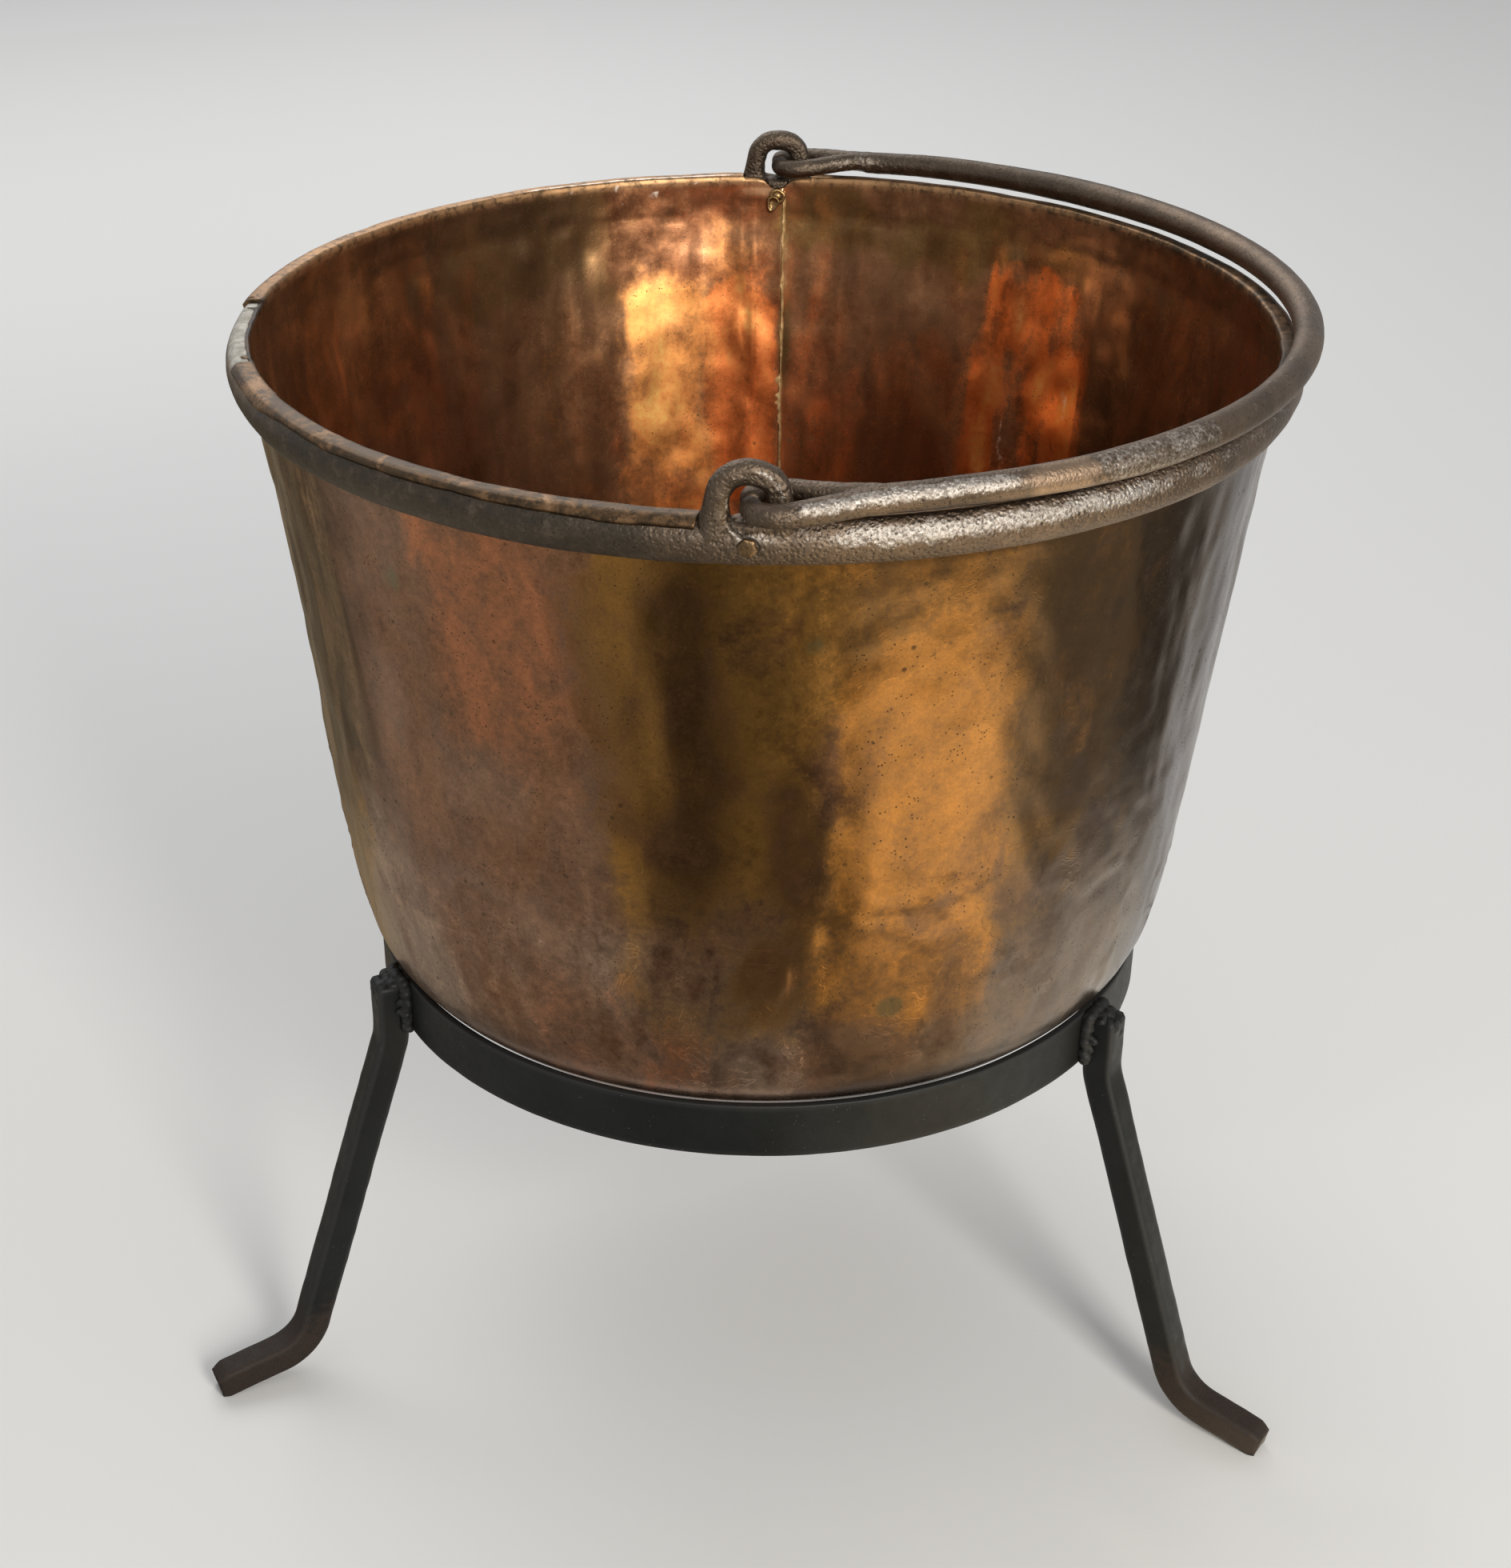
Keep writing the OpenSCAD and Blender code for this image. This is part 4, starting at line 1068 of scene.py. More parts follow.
def iron_masks(ob, p=None):
    """Where the iron is cold dark, rubbed bright and painted with highlights, pale or sooty, by place on the object."""
    p = coords(ob) if p is None else p
    nr = normals(ob)
    u = wrap(np.degrees(np.arctan2(p[:, 1], p[:, 0])) + 90)
    z = p[:, 2] - H
    r = np.hypot(p[:, 0], p[:, 1])
    wob = 5 * vnoise(p / 30, 301)
    cold = np.maximum(band(u + wob, -92, -9, 7), 0.85 * step(95, 125, np.abs(u)))
    cold = np.maximum(cold, 0.35 * band(u, -9, 6, 5))
    return p, nr, u, z, r, wob, cold


def build_hoop(name, node, a, b):
    ob = tube(name, hoop_rings(a, b, 0.4, True))
    p, nr, u, z, r, wob, cold = iron_masks(ob)
    mid = bell(z + 1.5 * vnoise(p / 8, 321), -8.6, 9.0)
    # wear_and_sheen: rubbed iron and a painted highlight on the upper half of the hoop at the front right, where the
    # light catches it.
    wear_and_sheen = band(u + wob, 6, 42, 7) * mid * 0.95 + 0.36 * band(u + wob, 42, 95, 10) * bell(z, -8, 9)
    wear_and_sheen = wear_and_sheen + 0.22 * band(u, -9, 6, 4) * mid
    az = np.degrees(np.arctan2(p[:, 1], p[:, 0])) % 360
    pale = band(az, 178.6, 199.4, 0.7) * step(-9, -4, z)
    attribute(ob, "cold", cold)
    attribute(ob, "wear_and_sheen", wear_and_sheen)
    attribute(ob, "grit", 0.25 + 0.75 * band(u + wob, -8, 60, 8) + 0.35 * pale)
    attribute(ob, "pale", pale * 0.95)
    tan = 0.55 * band(u + wob, -78, -60, 5) * step(-16, -6, z) * (0.7 + 0.5 * vnoise(p / 9, 323))
    attribute(ob, "tan", tan)
    attribute(ob, "soot", 0 * u)
    ob.data.materials.append(MAT_IRON)
    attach(ob, "kettle")
    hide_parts(node)
    return ob


def build_ear(name, node, side):
    """side -1 is the near ear, +1 the far one. Local s runs along X on both, h is up, d is outwards."""
    def at(s, h, d):
        return np.stack([np.asarray(s, float), side * (304.0 + np.asarray(d, float)), H + np.asarray(h, float)], -1)

    c = 90.0 if side > 0 else 270.0
    foot = hoop_rings(c - 4.15, c + 4.15, 0.25)
    # the loop: leaves the hoop on the left, goes over and comes down as a flattened tongue
    path = [(-17.6, -15.0, -0.6), (-17.0, -8.0, -0.4), (-15.9, 0.5, 0.0), (-14.9, 8.6, 0.0), (-12.6, 16.0, 0.0), (-7.4, 21.2, 0.0),
            (0.0, 22.7, 0.0), (7.6, 21.2, 0.3), (12.8, 17.2, 0.6), (15.2, 9.6, 0.6), (16.1, 1.5, 0.2), (16.6, -8.0, -0.4),
            (17.0, -14.0, -0.8)]
    path = resample(path, 1.2)
    t = np.linspace(0, 1, len(path))
    inplane = 6.5 + 2.1 * (1 - step(0.04, 0.27, t)) - 0.25 * bell(t, 0.5, 0.16) + 0.5 * step(0.86, 1.0, t) + 0.25 * bell(t, 0.52, 0.2)
    depth = 5.7 + 0.5 * bell(t, 0.45, 0.25) + 0.6 * (1 - step(0, 0.2, t)) - 0.5 * bell(t, 0.72, 0.2)
    power = 2.25 + 0.55 * bell(t, 0.68, 0.26)
    P = at(path[:, 0], path[:, 1], path[:, 2])
    loop = sweep(P, depth, inplane, up=(0, 0, 1), m=28, power=power)
    # frames_along needs a steady side vector: the loop lies in a plane, so its depth axis is Y
    tt = np.gradient(P, axis=0)
    tt /= np.linalg.norm(tt, axis=1)[:, None]
    yv = np.array([0, float(side), 0])
    b = np.cross(tt, yv)
    b /= np.linalg.norm(b, axis=1)[:, None]
    ang = np.linspace(0, 2 * np.pi, 28, endpoint=False)
    cc, ss = np.cos(ang), np.sin(ang)
    e = (2 / power)[:, None]
    dist = np.minimum(np.arange(len(P)), len(P) - 1 - np.arange(len(P))) * 1.2
    cap = np.sqrt(np.clip(1 - (1 - np.clip(dist / 5.0, 0, 1)) ** 2, 0.001, 1))[:, None]
    xx = np.sign(cc) * np.abs(cc) ** e * depth[:, None] * cap
    zz = np.sign(ss) * np.abs(ss) ** e * inplane[:, None] * cap
    loop = P[:, None, :] + xx[..., None] * yv + zz[..., None] * b[:, None, :]
    # the saddle under the hole
    sad = at(np.linspace(-15, 15, 15), -5.6 + 0.018 * np.linspace(-15, 15, 15) ** 2 * 0.6, 0 * np.linspace(-1, 1, 15) - 0.3)
    saddle = sweep(sad, 5.4, 4.7, m=24, power=2.3)
    # roots that flow into the bar of the hoop on both sides
    roots = []
    for sgn, reach in ((-1, 27.0), (1, 25.0)):
        pts = resample([(sgn * 12.0, -3.6, -0.4), (sgn * 18.0, -4.6, -0.8), (sgn * 22.5, -7.2, -1.6), (sgn * reach, -10.5, -2.6)], 1.4)
        q = at(pts[:, 0], pts[:, 1], pts[:, 2])
        k = np.linspace(0, 1, len(q))
        roots.append(sweep(q, 5.2 - 2.2 * k, 5.4 - 3.0 * k, m=20, power=2.1))
    # tang over the cut edge of the sheet, inside
    tp = resample([(0.0, -3.2, -1.5), (0.0, -3.4, -6.5), (0.1, -4.3, -9.2), (0.2, -6.2, -9.75), (0.3, -8.6, -9.8)], 0.8)
    q = at(tp[:, 0], tp[:, 1], tp[:, 2])
    k = np.linspace(0, 1, len(q))
    wid = 7.8 - 3.2 * step(0.45, 1.0, k)
    thk = 2.1 - 0.85 * step(0.5, 0.85, k)
    tx = np.gradient(q, axis=0)
    tx /= np.linalg.norm(tx, axis=1)[:, None]
    xv = np.array([1.0, 0, 0])
    bv = np.cross(tx, xv)
    bv /= np.linalg.norm(bv, axis=1)[:, None]
    cap = np.sqrt(np.clip(1 - (1 - np.clip(np.minimum(np.arange(len(q)), len(q) - 1 - np.arange(len(q))) * 0.8 / 1.6, 0, 1)) ** 2, 0.01, 1))
    ang = np.linspace(0, 2 * np.pi, 28, endpoint=False)
    cx = np.sign(np.cos(ang)) * np.abs(np.cos(ang)) ** 0.6
    sx = np.sign(np.sin(ang)) * np.abs(np.sin(ang)) ** 0.6
    tang = q[:, None, :] + (cx[None] * (wid * cap)[:, None])[..., None] * xv + (sx[None] * (thk * cap)[:, None])[..., None] * bv[:, None, :]
    ob = union_object(name, [foot, loop, saddle, *roots, tang])
    remesh(ob, 0.62, 5, 0.5)
    p = coords(ob)
    # keep the ends of the foot square to the hoop
    s, h = p[:, 0], p[:, 2] - H
    d = side * p[:, 1] - 304.0
    lumps = 0.30 * fbm(p / 7.5, 2, 401 + side) + 0.12 * fbm(p / 2.6, 2, 405 + side)
    f1, _ = cells(p / 9.0, 409 + side)
    lumps = lumps + 1.05 * (f1 * f1 - 0.35) * step(-4, 4, h) * (1 - 0.6 * step(25, 29, h))
    g1, _ = cells(p / 3.6, 413 + side)
    lumps = lumps + 0.16 * (g1 * g1 - 0.35)
    end = 1 - step(15.0, 19.0, np.abs(s))
    nr = normals(ob)
    inner_face = step(-5.0, -2.0, d)  # the seat against the copper stays as it is
    lumps = lumps * end * (0.15 + 0.85 * inner_face)
    # the joint: a line from the left of the hole past the rivet
    line = np.array([(-8.6, 3.0), (-8.9, -1.0), (-7.6, -4.6), (-4.6, -7.4), (-1.2, -9.0), (3.0, -10.2), (5.4, -13.2), (4.2, -18.0)])
    ln = resample(line, 0.4)
    q2 = np.stack([s, h], -1)
    near = np.full(len(p), 99.0)
    for k in range(0, len(ln)):
        near = np.minimum(near, np.hypot(q2[:, 0] - ln[k, 0], q2[:, 1] - ln[k, 1]))
    front = step(0.5, 3.0, d) * step(-20, -15, h) * (1 - step(1.5, 4.0, h))
    groove = np.exp(-(near / 0.75) ** 2) * front
    lumps = lumps - 0.75 * groove
    set_coords(ob, p + nr * lumps[:, None])
    # the ends of the foot dip under the skin of the hoop, so the two run into each other
    p = coords(ob)
    rr0 = np.hypot(p[:, 0], p[:, 1])
    off_c = np.abs(wrap(np.degrees(np.arctan2(p[:, 1], p[:, 0])) - c))
    k = 1 - 0.040 * step(3.66, 4.12, off_c)
    rn = HC + (rr0 - HC) * k
    p[:, 0] *= rn / rr0
    p[:, 1] *= rn / rr0
    p[:, 2] = H + HZ + (p[:, 2] - H - HZ) * k
    set_coords(ob, p)
    p, nr, u, z, r, wob, cold = iron_masks(ob)
    edge = np.exp(-((near - 1.25) / 0.55) ** 2) * front * (0.6 + 0.6 * vnoise(p / 2.2, 5))
    # bright arc on the tongue, and the bright edges of the joint and the hole: wear and painted highlights
    rr = np.hypot(s - 0.0, h - 8.8)
    ang = np.degrees(np.arctan2(h - 8.8, s))
    arcw = np.exp(-((rr - 17.0) / 1.4) ** 2) * band(ang, 5, 80, 10) * step(1, 4, d)
    hole_edge = np.exp(-((rr - 10.2) / 0.9) ** 2) * band(ang % 360, 165, 255, 8) * step(1.0, 3.0, d)
    wear_and_sheen = 0.65 * edge + 0.55 * arcw + 0.75 * hole_edge + 0.25 * step(20, 28, h) * vnoise(p / 5, 9)
    attribute(ob, "cold", np.where(side < 0, np.maximum(cold, 0.45 * step(-2, 4, h)), 0.55))
    mid = bell(z + 1.5 * vnoise(p / 8, 321), -8.6, 9.0)
    # on the near ear the hoop's painted highlight band carries on
    wear_and_sheen = wear_and_sheen + (0.20 * band(u, -9, 6, 4) * mid + band(u + wob, 6, 42, 7) * mid * 1.0) * (side < 0)
    attribute(ob, "wear_and_sheen", wear_and_sheen * (1 if side < 0 else 0.35))
    attribute(ob, "grit", 0.75 + 0.2 * (1 - step(-6, 0, h)))
    attribute(ob, "pale", 0 * u)
    attribute(ob, "tan", 0 * u)
    attribute(ob, "soot", np.clip(0.5 * groove, 0, 1))
    ob.data.materials.append(MAT_IRON)
    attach(ob, "kettle")
    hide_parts(node)
    return ob


PIN = (1.5, 6.8)  # hinge line: x, height above the lip
BOW = (4.0, 306.0, 9.6)


def build_bail():
    bx, br, bh = BOW
    parts = []
    az = np.linspace(-80.5, 80.5, 241)
    a = az * RAD
    wobble = np.stack([np.cos(a) * 3, np.sin(a) * 3, 0 * a], -1)
    rr = br + 0.7 * vnoise(wobble * 1.2, 501)
    hh = bh + 0.45 * vnoise(wobble * 1.1 + 4, 503) - 1.0 * step(70, 81, np.abs(az))
    bow = np.stack([bx + rr * np.cos(a), rr * np.sin(a), H + hh], -1)
    rad = 8.6 - 1.35 * step(48, 80, np.abs(az)) - 0.25 * bell(np.abs(az), 60, 8)
    parts.append(sweep(bow, rad, rad, m=30))
    for s in (-1, 1):
        jx, jy, jz = bx + br * math.cos(80.5 * RAD), s * br * math.sin(80.5 * RAD), H + bh - 1.0
        yc = s * 304.0
        px, pz = PIN[0], H + PIN[1]
        # near side strand: towards the outside of the kettle; the other one runs back inside
        outer = resample([(px, yc, pz), (px + 0.3, yc + s * 7.0, pz), (px + 3.2, yc + s * 13.2, pz), (px + 9.5, yc + s * 15.6, pz),
                          (px + 20, yc + s * 14.6, pz + 0.3), (px + 33, yc + s * 10.0, pz + 0.9), (jx + 2, jy + s * 2.6, jz + 0.2),
                          (jx + 18, s * math.sqrt(br ** 2 - (jx + 18 - bx) ** 2) + s * 0.6, jz + 0.4)], 1.6)
        t = np.linspace(0, 1, len(outer))
        r_o = 6.0 + 0.55 * step(0.2, 0.6, t) + 0.6 * step(0.7, 1.0, t) - 2.2 * step(0.88, 1.0, t)
        parts.append(sweep(outer, r_o, r_o * (1.0 + 0.05 * bell(t, 0.5, 0.3)), m=24, power=2.15))
        inner = resample([(px, yc, pz), (px + 0.3, yc - s * 7.0, pz), (px + 3.2, yc - s * 13.2, pz), (px + 9.5, yc - s * 15.6, pz + 0.2),
                          (px + 20, yc - s * 14.8, pz + 1.0), (px + 33, yc - s * 9.8, pz + 1.9), (jx - 1, jy - s * 3.0, jz + 1.6),
                          (jx + 20, s * math.sqrt(br ** 2 - (jx + 20 - bx) ** 2) - s * 2.2, jz + 1.6)], 1.6)
        t = np.linspace(0, 1, len(inner))
        r_i = 5.9 + 0.1 * t - 2.6 * step(0.82, 1.0, t)
        parts.append(sweep(inner, r_i, r_i, m=24, power=2.1))
    ob = union_object("bail_bar", parts)
    remesh(ob, 1.0, 6, 0.5)
    p = coords(ob)
    nr = normals(ob)
    az = np.degrees(np.arctan2(p[:, 1], p[:, 0] - bx))
    ends = step(66, 80, np.abs(az))
    f1, _ = cells(p / 17.0, 511)
    d = 0.16 * fbm(p / 22, 2, 513) + 0.05 * fbm(p / 5, 2, 515) + 0.12 * (f1 * f1 - 0.35)
    g1, _ = cells(p / 6.5, 517)
    d = d + ends * (0.20 * fbm(p / 5.2, 2, 519) + 0.35 * (g1 * g1 - 0.35)) - 0.05
    near_pin = 1 - step(6, 12, np.hypot(p[:, 0] - PIN[0], np.abs(p[:, 1]) - 304))
    d = d * (1 - 0.6 * near_pin) - 0.1 * near_pin
    set_coords(ob, p + nr * d[:, None])
    p = coords(ob)
    nr = normals(ob)
    az = np.degrees(np.arctan2(p[:, 1], p[:, 0] - bx))
    outward = (p[:, 0] * nr[:, 0] + p[:, 1] * nr[:, 1]) / np.maximum(np.hypot(p[:, 0], p[:, 1]), 1)
    rad_here = np.hypot(p[:, 0], p[:, 1])
    # wear_and_sheen: rubbed on the near strand by the ear, and a painted highlight on the top and the front right of
    # the bow where the light catches it.
    wear_and_sheen = 0.86 * band(az, -86.5, -66, 2.5) * step(0.05, 0.6, outward) * step(-0.35, 0.4, nr[:, 2]) * step(306, 309, rad_here)
    wear_and_sheen = np.maximum(wear_and_sheen, 0.50 * band(az, -60, -42, 5) * step(0.0, 0.7, outward + nr[:, 2] * 0.4))
    wear_and_sheen = np.maximum(wear_and_sheen, 0.22 * band(az, -40, 12, 10) * step(0.2, 0.9, nr[:, 2]))
    wear_and_sheen = np.maximum(wear_and_sheen, 0.35 * band(az, 76, 86, 3) * step(0.3, 0.8, -outward))
    wear_and_sheen = wear_and_sheen * (1 - near_pin)
    cold = np.clip(0.50 * step(25, 60, az) + 0.12, 0, 1)
    attribute(ob, "cold", cold)
    attribute(ob, "wear_and_sheen", wear_and_sheen)
    attribute(ob, "grit", 0.16 + 0.70 * band(az, -90, -70, 3) + 0.25 * band(az, -70, -45, 4) + 0.3 * band(az, 72, 90, 4))
    attribute(ob, "pale", 0 * az)
    attribute(ob, "tan", 0.75 * band(az + 1.2 * vnoise(p / 6, 541), -64.5, -58, 1.2) * step(0.0, 0.4, outward + 0.3))
    attribute(ob, "soot", 0.25 * near_pin)
    ob.data.materials.append(MAT_IRON)
    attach(ob, "bail")
    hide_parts("bail")
    return ob


# ------------------------------------------------------------------ rivets and roves
def radial(side, s, h, r):
    """A point at distance r from the axis beside an ear."""
    return np.stack([np.asarray(s, float) + 0 * np.asarray(r, float), side * (np.asarray(r, float) + 0 * np.asarray(s, float)),
                     H + HZ + np.asarray(h, float) + 0 * np.asarray(r, float)], -1)


def disc_rings(side, stations, m=36, shape=None):
    """Rings of a turned or hammered disc on the rivet line. stations: (radius, distance from the axis, ds, dh)."""
    ang = np.linspace(0, 2 * np.pi, m, endpoint=False)
    rings = []
    for rad, r, ds, dh in stations:
        k = np.ones(m) if shape is None else shape(ang, rad)
        rings.append(radial(side, ds + rad * k * np.cos(ang), dh + rad * k * np.sin(ang), np.full(m, r)))
    return np.stack(rings)


def hexagon(ang, rad):
    f = np.cos(math.pi / 6) / np.cos(((ang + 0.22) % (math.pi / 3)) - math.pi / 6)
    return 1 + (f - 1) * (1.15 if rad > 3 else 0.3)


def build_rivets():
    made = []
    # near: six-sided head outside
    st = [(3.0, 296.5, 0, 0), (3.05, 309.0, 0, 0), (4.9, 309.3, 0, 0), (5.35, 309.9, 0, 0), (5.3, 310.8, 0, 0), (4.9, 311.4, 0, 0),
          (3.8, 311.75, 0.1, 0.05), (2.2, 311.85, 0.15, 0.1), (0.6, 311.88, 0.2, 0.1)]
    head = disc_rings(-1, st, shape=hexagon)
    st = [(0.5, 291.0, 0, 0), (2.6, 291.0, 0, 0), (4.0, 291.3, 0, 0), (4.7, 292.0, 0, 0), (4.6, 292.8, 0, 0), (3.0, 293.4, 0, 0), (3.0, 298.5, 0, 0)]
    tail = disc_rings(-1, st)
    ob = union_object("front_rivet_pin", [head, tail])
    p = coords(ob)
    set_coords(ob, p + normals(ob) * (0.10 * fbm(p / 2.2, 2, 601))[:, None])
    made.append((ob, "front_rivet"))
    # far: same head outside, inside the end is clenched down into a drop
    head = disc_rings(1, [(3.0, 296.5, 0, 0), (3.05, 309.0, 0, 0), (4.35, 309.3, 0, 0), (4.75, 309.9, 0, 0), (4.7, 310.6, 0, 0),
                          (4.3, 311.2, 0, 0), (3.4, 311.5, 0.1, 0.05), (2.0, 311.62, 0.1, 0.1), (0.6, 311.66, 0.1, 0.1)], shape=hexagon)
    shank = disc_rings(1, [(0.6, 292.4, 0, 0), (3.0, 292.4, 0, 0), (3.0, 298.5, 0, 0)])
    ang = np.linspace(0, 2 * np.pi, 40, endpoint=False)
    def drop(k, r, ds=0.0, dh=0.0):
        # rounded above, drawn out below and to the left
        x = 4.3 * k * np.cos(ang) * (1 - 0.28 * np.clip(-np.sin(ang), 0, 1))
        y = 4.4 * k * np.sin(ang) * np.where(np.sin(ang) < 0, 1.75, 1.0)
        c, s2 = math.cos(-0.30), math.sin(-0.30)
        return radial(1, -2.6 + ds + c * x - s2 * y, -3.4 + dh + s2 * x + c * y, np.full(40, r))
    cup = np.stack([drop(0.3, 293.3), drop(0.9, 293.4), drop(1.0, 292.6), drop(1.0, 291.7), drop(0.93, 291.0), drop(0.80, 290.8),
                    drop(0.66, 291.1), drop(0.55, 291.9), drop(0.3, 292.1), drop(0.08, 292.1)])
    ob = union_object("rear_rivet_pin", [head, shank, cup])
    p = coords(ob)
    set_coords(ob, p + normals(ob) * (0.12 * fbm(p / 2.0, 2, 603))[:, None])
    made.append((ob, "rear_rivet"))
    for ob, node in made:
        ob.data.materials.append(MAT_RIVET if node == "front_rivet" else MAT_ROVE)
        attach(ob, "kettle")
        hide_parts(node)
    for side, node, face in ((-1, "front_rove", 295.7), (1, "rear_rove", 294.1)):
        ang = np.linspace(0, 2 * np.pi, 44, endpoint=False)
        rings = []
        wob = 1 + 0.03 * np.sin(3 * ang + 1) + 0.02 * np.sin(5 * ang)
        for rad, r in ((3.15, face), (5.2, face), (5.55, face - 0.35), (5.6, face - 0.8), (5.3, face - 1.3), (4.6, face - 1.5), (3.4, face - 1.45), (3.1, face - 1.2)):
            rings.append(radial(side, rad * wob * np.cos(ang), rad * wob * np.sin(ang), np.full(44, r)))
        rings = np.stack(rings)
        n, m, _ = rings.shape
        ob = new_object(node + "_washer", rings.reshape(-1, 3), grid_faces(n, m, True, True))
        ob.data.materials.append(MAT_ROVE)
        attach(ob, "kettle")
        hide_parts(node)


# ------------------------------------------------------------------ stand
RING_R, RING_T, RING_H, RING_TOP, LEG = 245.0, 5.0, 35.0, 283.0, 19.0
LEG_AT = {"leg_front_left": 207.6, "leg_front_right": 327.6, "leg_rear": 87.6}


def build_stand_hoop():
    r0, r1, z0, z1, e = RING_R - RING_T, RING_R, RING_TOP - RING_H, RING_TOP, 0.9
    sec = []
    for cx, cz, a in ((r1 - e, z1 - e, 0), (r0 + e, z1 - e, 90), (r0 + e, z0 + e, 180), (r1 - e, z0 + e, 270)):
        sec += [(cx + e * math.cos((a + t) * RAD), cz + e * math.sin((a + t) * RAD)) for t in (0, 30, 60, 90)]
    sec = np.array(sec)
    full = []
    for k in range(len(sec)):
        a, b = sec[k], sec[(k + 1) % len(sec)]
        n = max(1, int(np.linalg.norm(b - a) / 3.0))
        full.append(a + (b - a) * np.linspace(0, 1, n, endpoint=False)[:, None])
    sec = np.vstack(full)
    az = np.arange(0, 360, 0.75)
    A = az[:, None] * RAD
    R = sec[None, :, 0] + 0 * A
    Z = sec[None, :, 1] + 0 * A
    P = np.stack([R * np.cos(A), R * np.sin(A), Z], -1)
    q = np.stack([np.cos(A) * 245, np.sin(A) * 245, 0 * A], -1)
    outside = (sec[None, :, 0] > RING_R - 2.5)
    dr = np.where(outside, 0.18 * fbm(P / 24, 2, 701) + 0.10 * vnoise(P / 7, 703) - 0.1, 0.0)
    dz = 0.30 * fbm(q / 60, 2, 705) * (np.abs(Z - 265.5) > 15)
    P = np.stack([(R + dr) * np.cos(A), (R + dr) * np.sin(A), Z + dz], -1)
    n, m = P.shape[:2]
    ob = new_object("stand_hoop_band", P.reshape(-1, 3), grid_faces(n, m, True, True))
    z = P.reshape(-1, 3)[:, 2]
    attribute(ob, "edge", 0.55 * np.maximum(step(RING_TOP - 1.6, RING_TOP - 0.2, z), 1 - step(248.3, 249.6, z)))
    ob.data.materials.append(MAT_BLACK)
    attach(ob, "stand")
    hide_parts("stand_hoop")


def leg_path():
    """Centreline of a leg in (r, z), from the top down to the tip."""
    hs = LEG / 2
    slope, foot = 18.2, 12.0
    b1, b2 = 40.0, 34.0
    r0 = RING_R + hs
    z1 = RING_TOP - RING_H - 1
    b1r = r0 + b1 * (1 - math.cos(slope * RAD))
    b1z = z1 - b1 * math.sin(slope * RAD)
    tip_r = 387.4
    tip_z = hs * math.cos(foot * RAD) - 2.4
    turn = 90 - slope - foot
    cr = (tip_z + math.tan(foot * RAD) * tip_r - b1z - b1r / math.tan(slope * RAD)) / (math.tan(foot * RAD) - 1 / math.tan(slope * RAD))
    cz = b1z - (cr - b1r) / math.tan(slope * RAD)
    cut = b2 * math.tan(turn / 2 * RAD)
    s2 = (cr - cut * math.sin(slope * RAD), cz + cut * math.cos(slope * RAD))
    f2 = (cr + cut * math.cos(foot * RAD), cz - cut * math.sin(foot * RAD))
    c2 = (s2[0] + b2 * math.cos(slope * RAD), s2[1] + b2 * math.sin(slope * RAD))
    pts = [(r0, z) for z in np.linspace(RING_TOP - 3, z1, 12, endpoint=False)]
    c1 = (r0 + b1, z1)
    pts += [(c1[0] + b1 * math.cos(t * RAD), c1[1] + b1 * math.sin(t * RAD)) for t in np.linspace(180, 180 + slope, 8, endpoint=False)]
    a, b = np.array((b1r, b1z)), np.array(s2)
    n = int(np.linalg.norm(b - a) / 3.0)
    pts += [tuple(a + (b - a) * t) for t in np.linspace(0, 1, n, endpoint=False)]
    pts += [(c2[0] + b2 * math.cos(t * RAD), c2[1] + b2 * math.sin(t * RAD)) for t in np.linspace(180 + slope, 180 + slope + turn, 16, endpoint=False)]
    a, b = np.array(f2), np.array((tip_r, tip_z))
    n = int(np.linalg.norm(b - a) / 2.2)
    pts += [tuple(a + (b - a) * t) for t in np.linspace(0, 1, n + 1)]
    return np.array(pts)


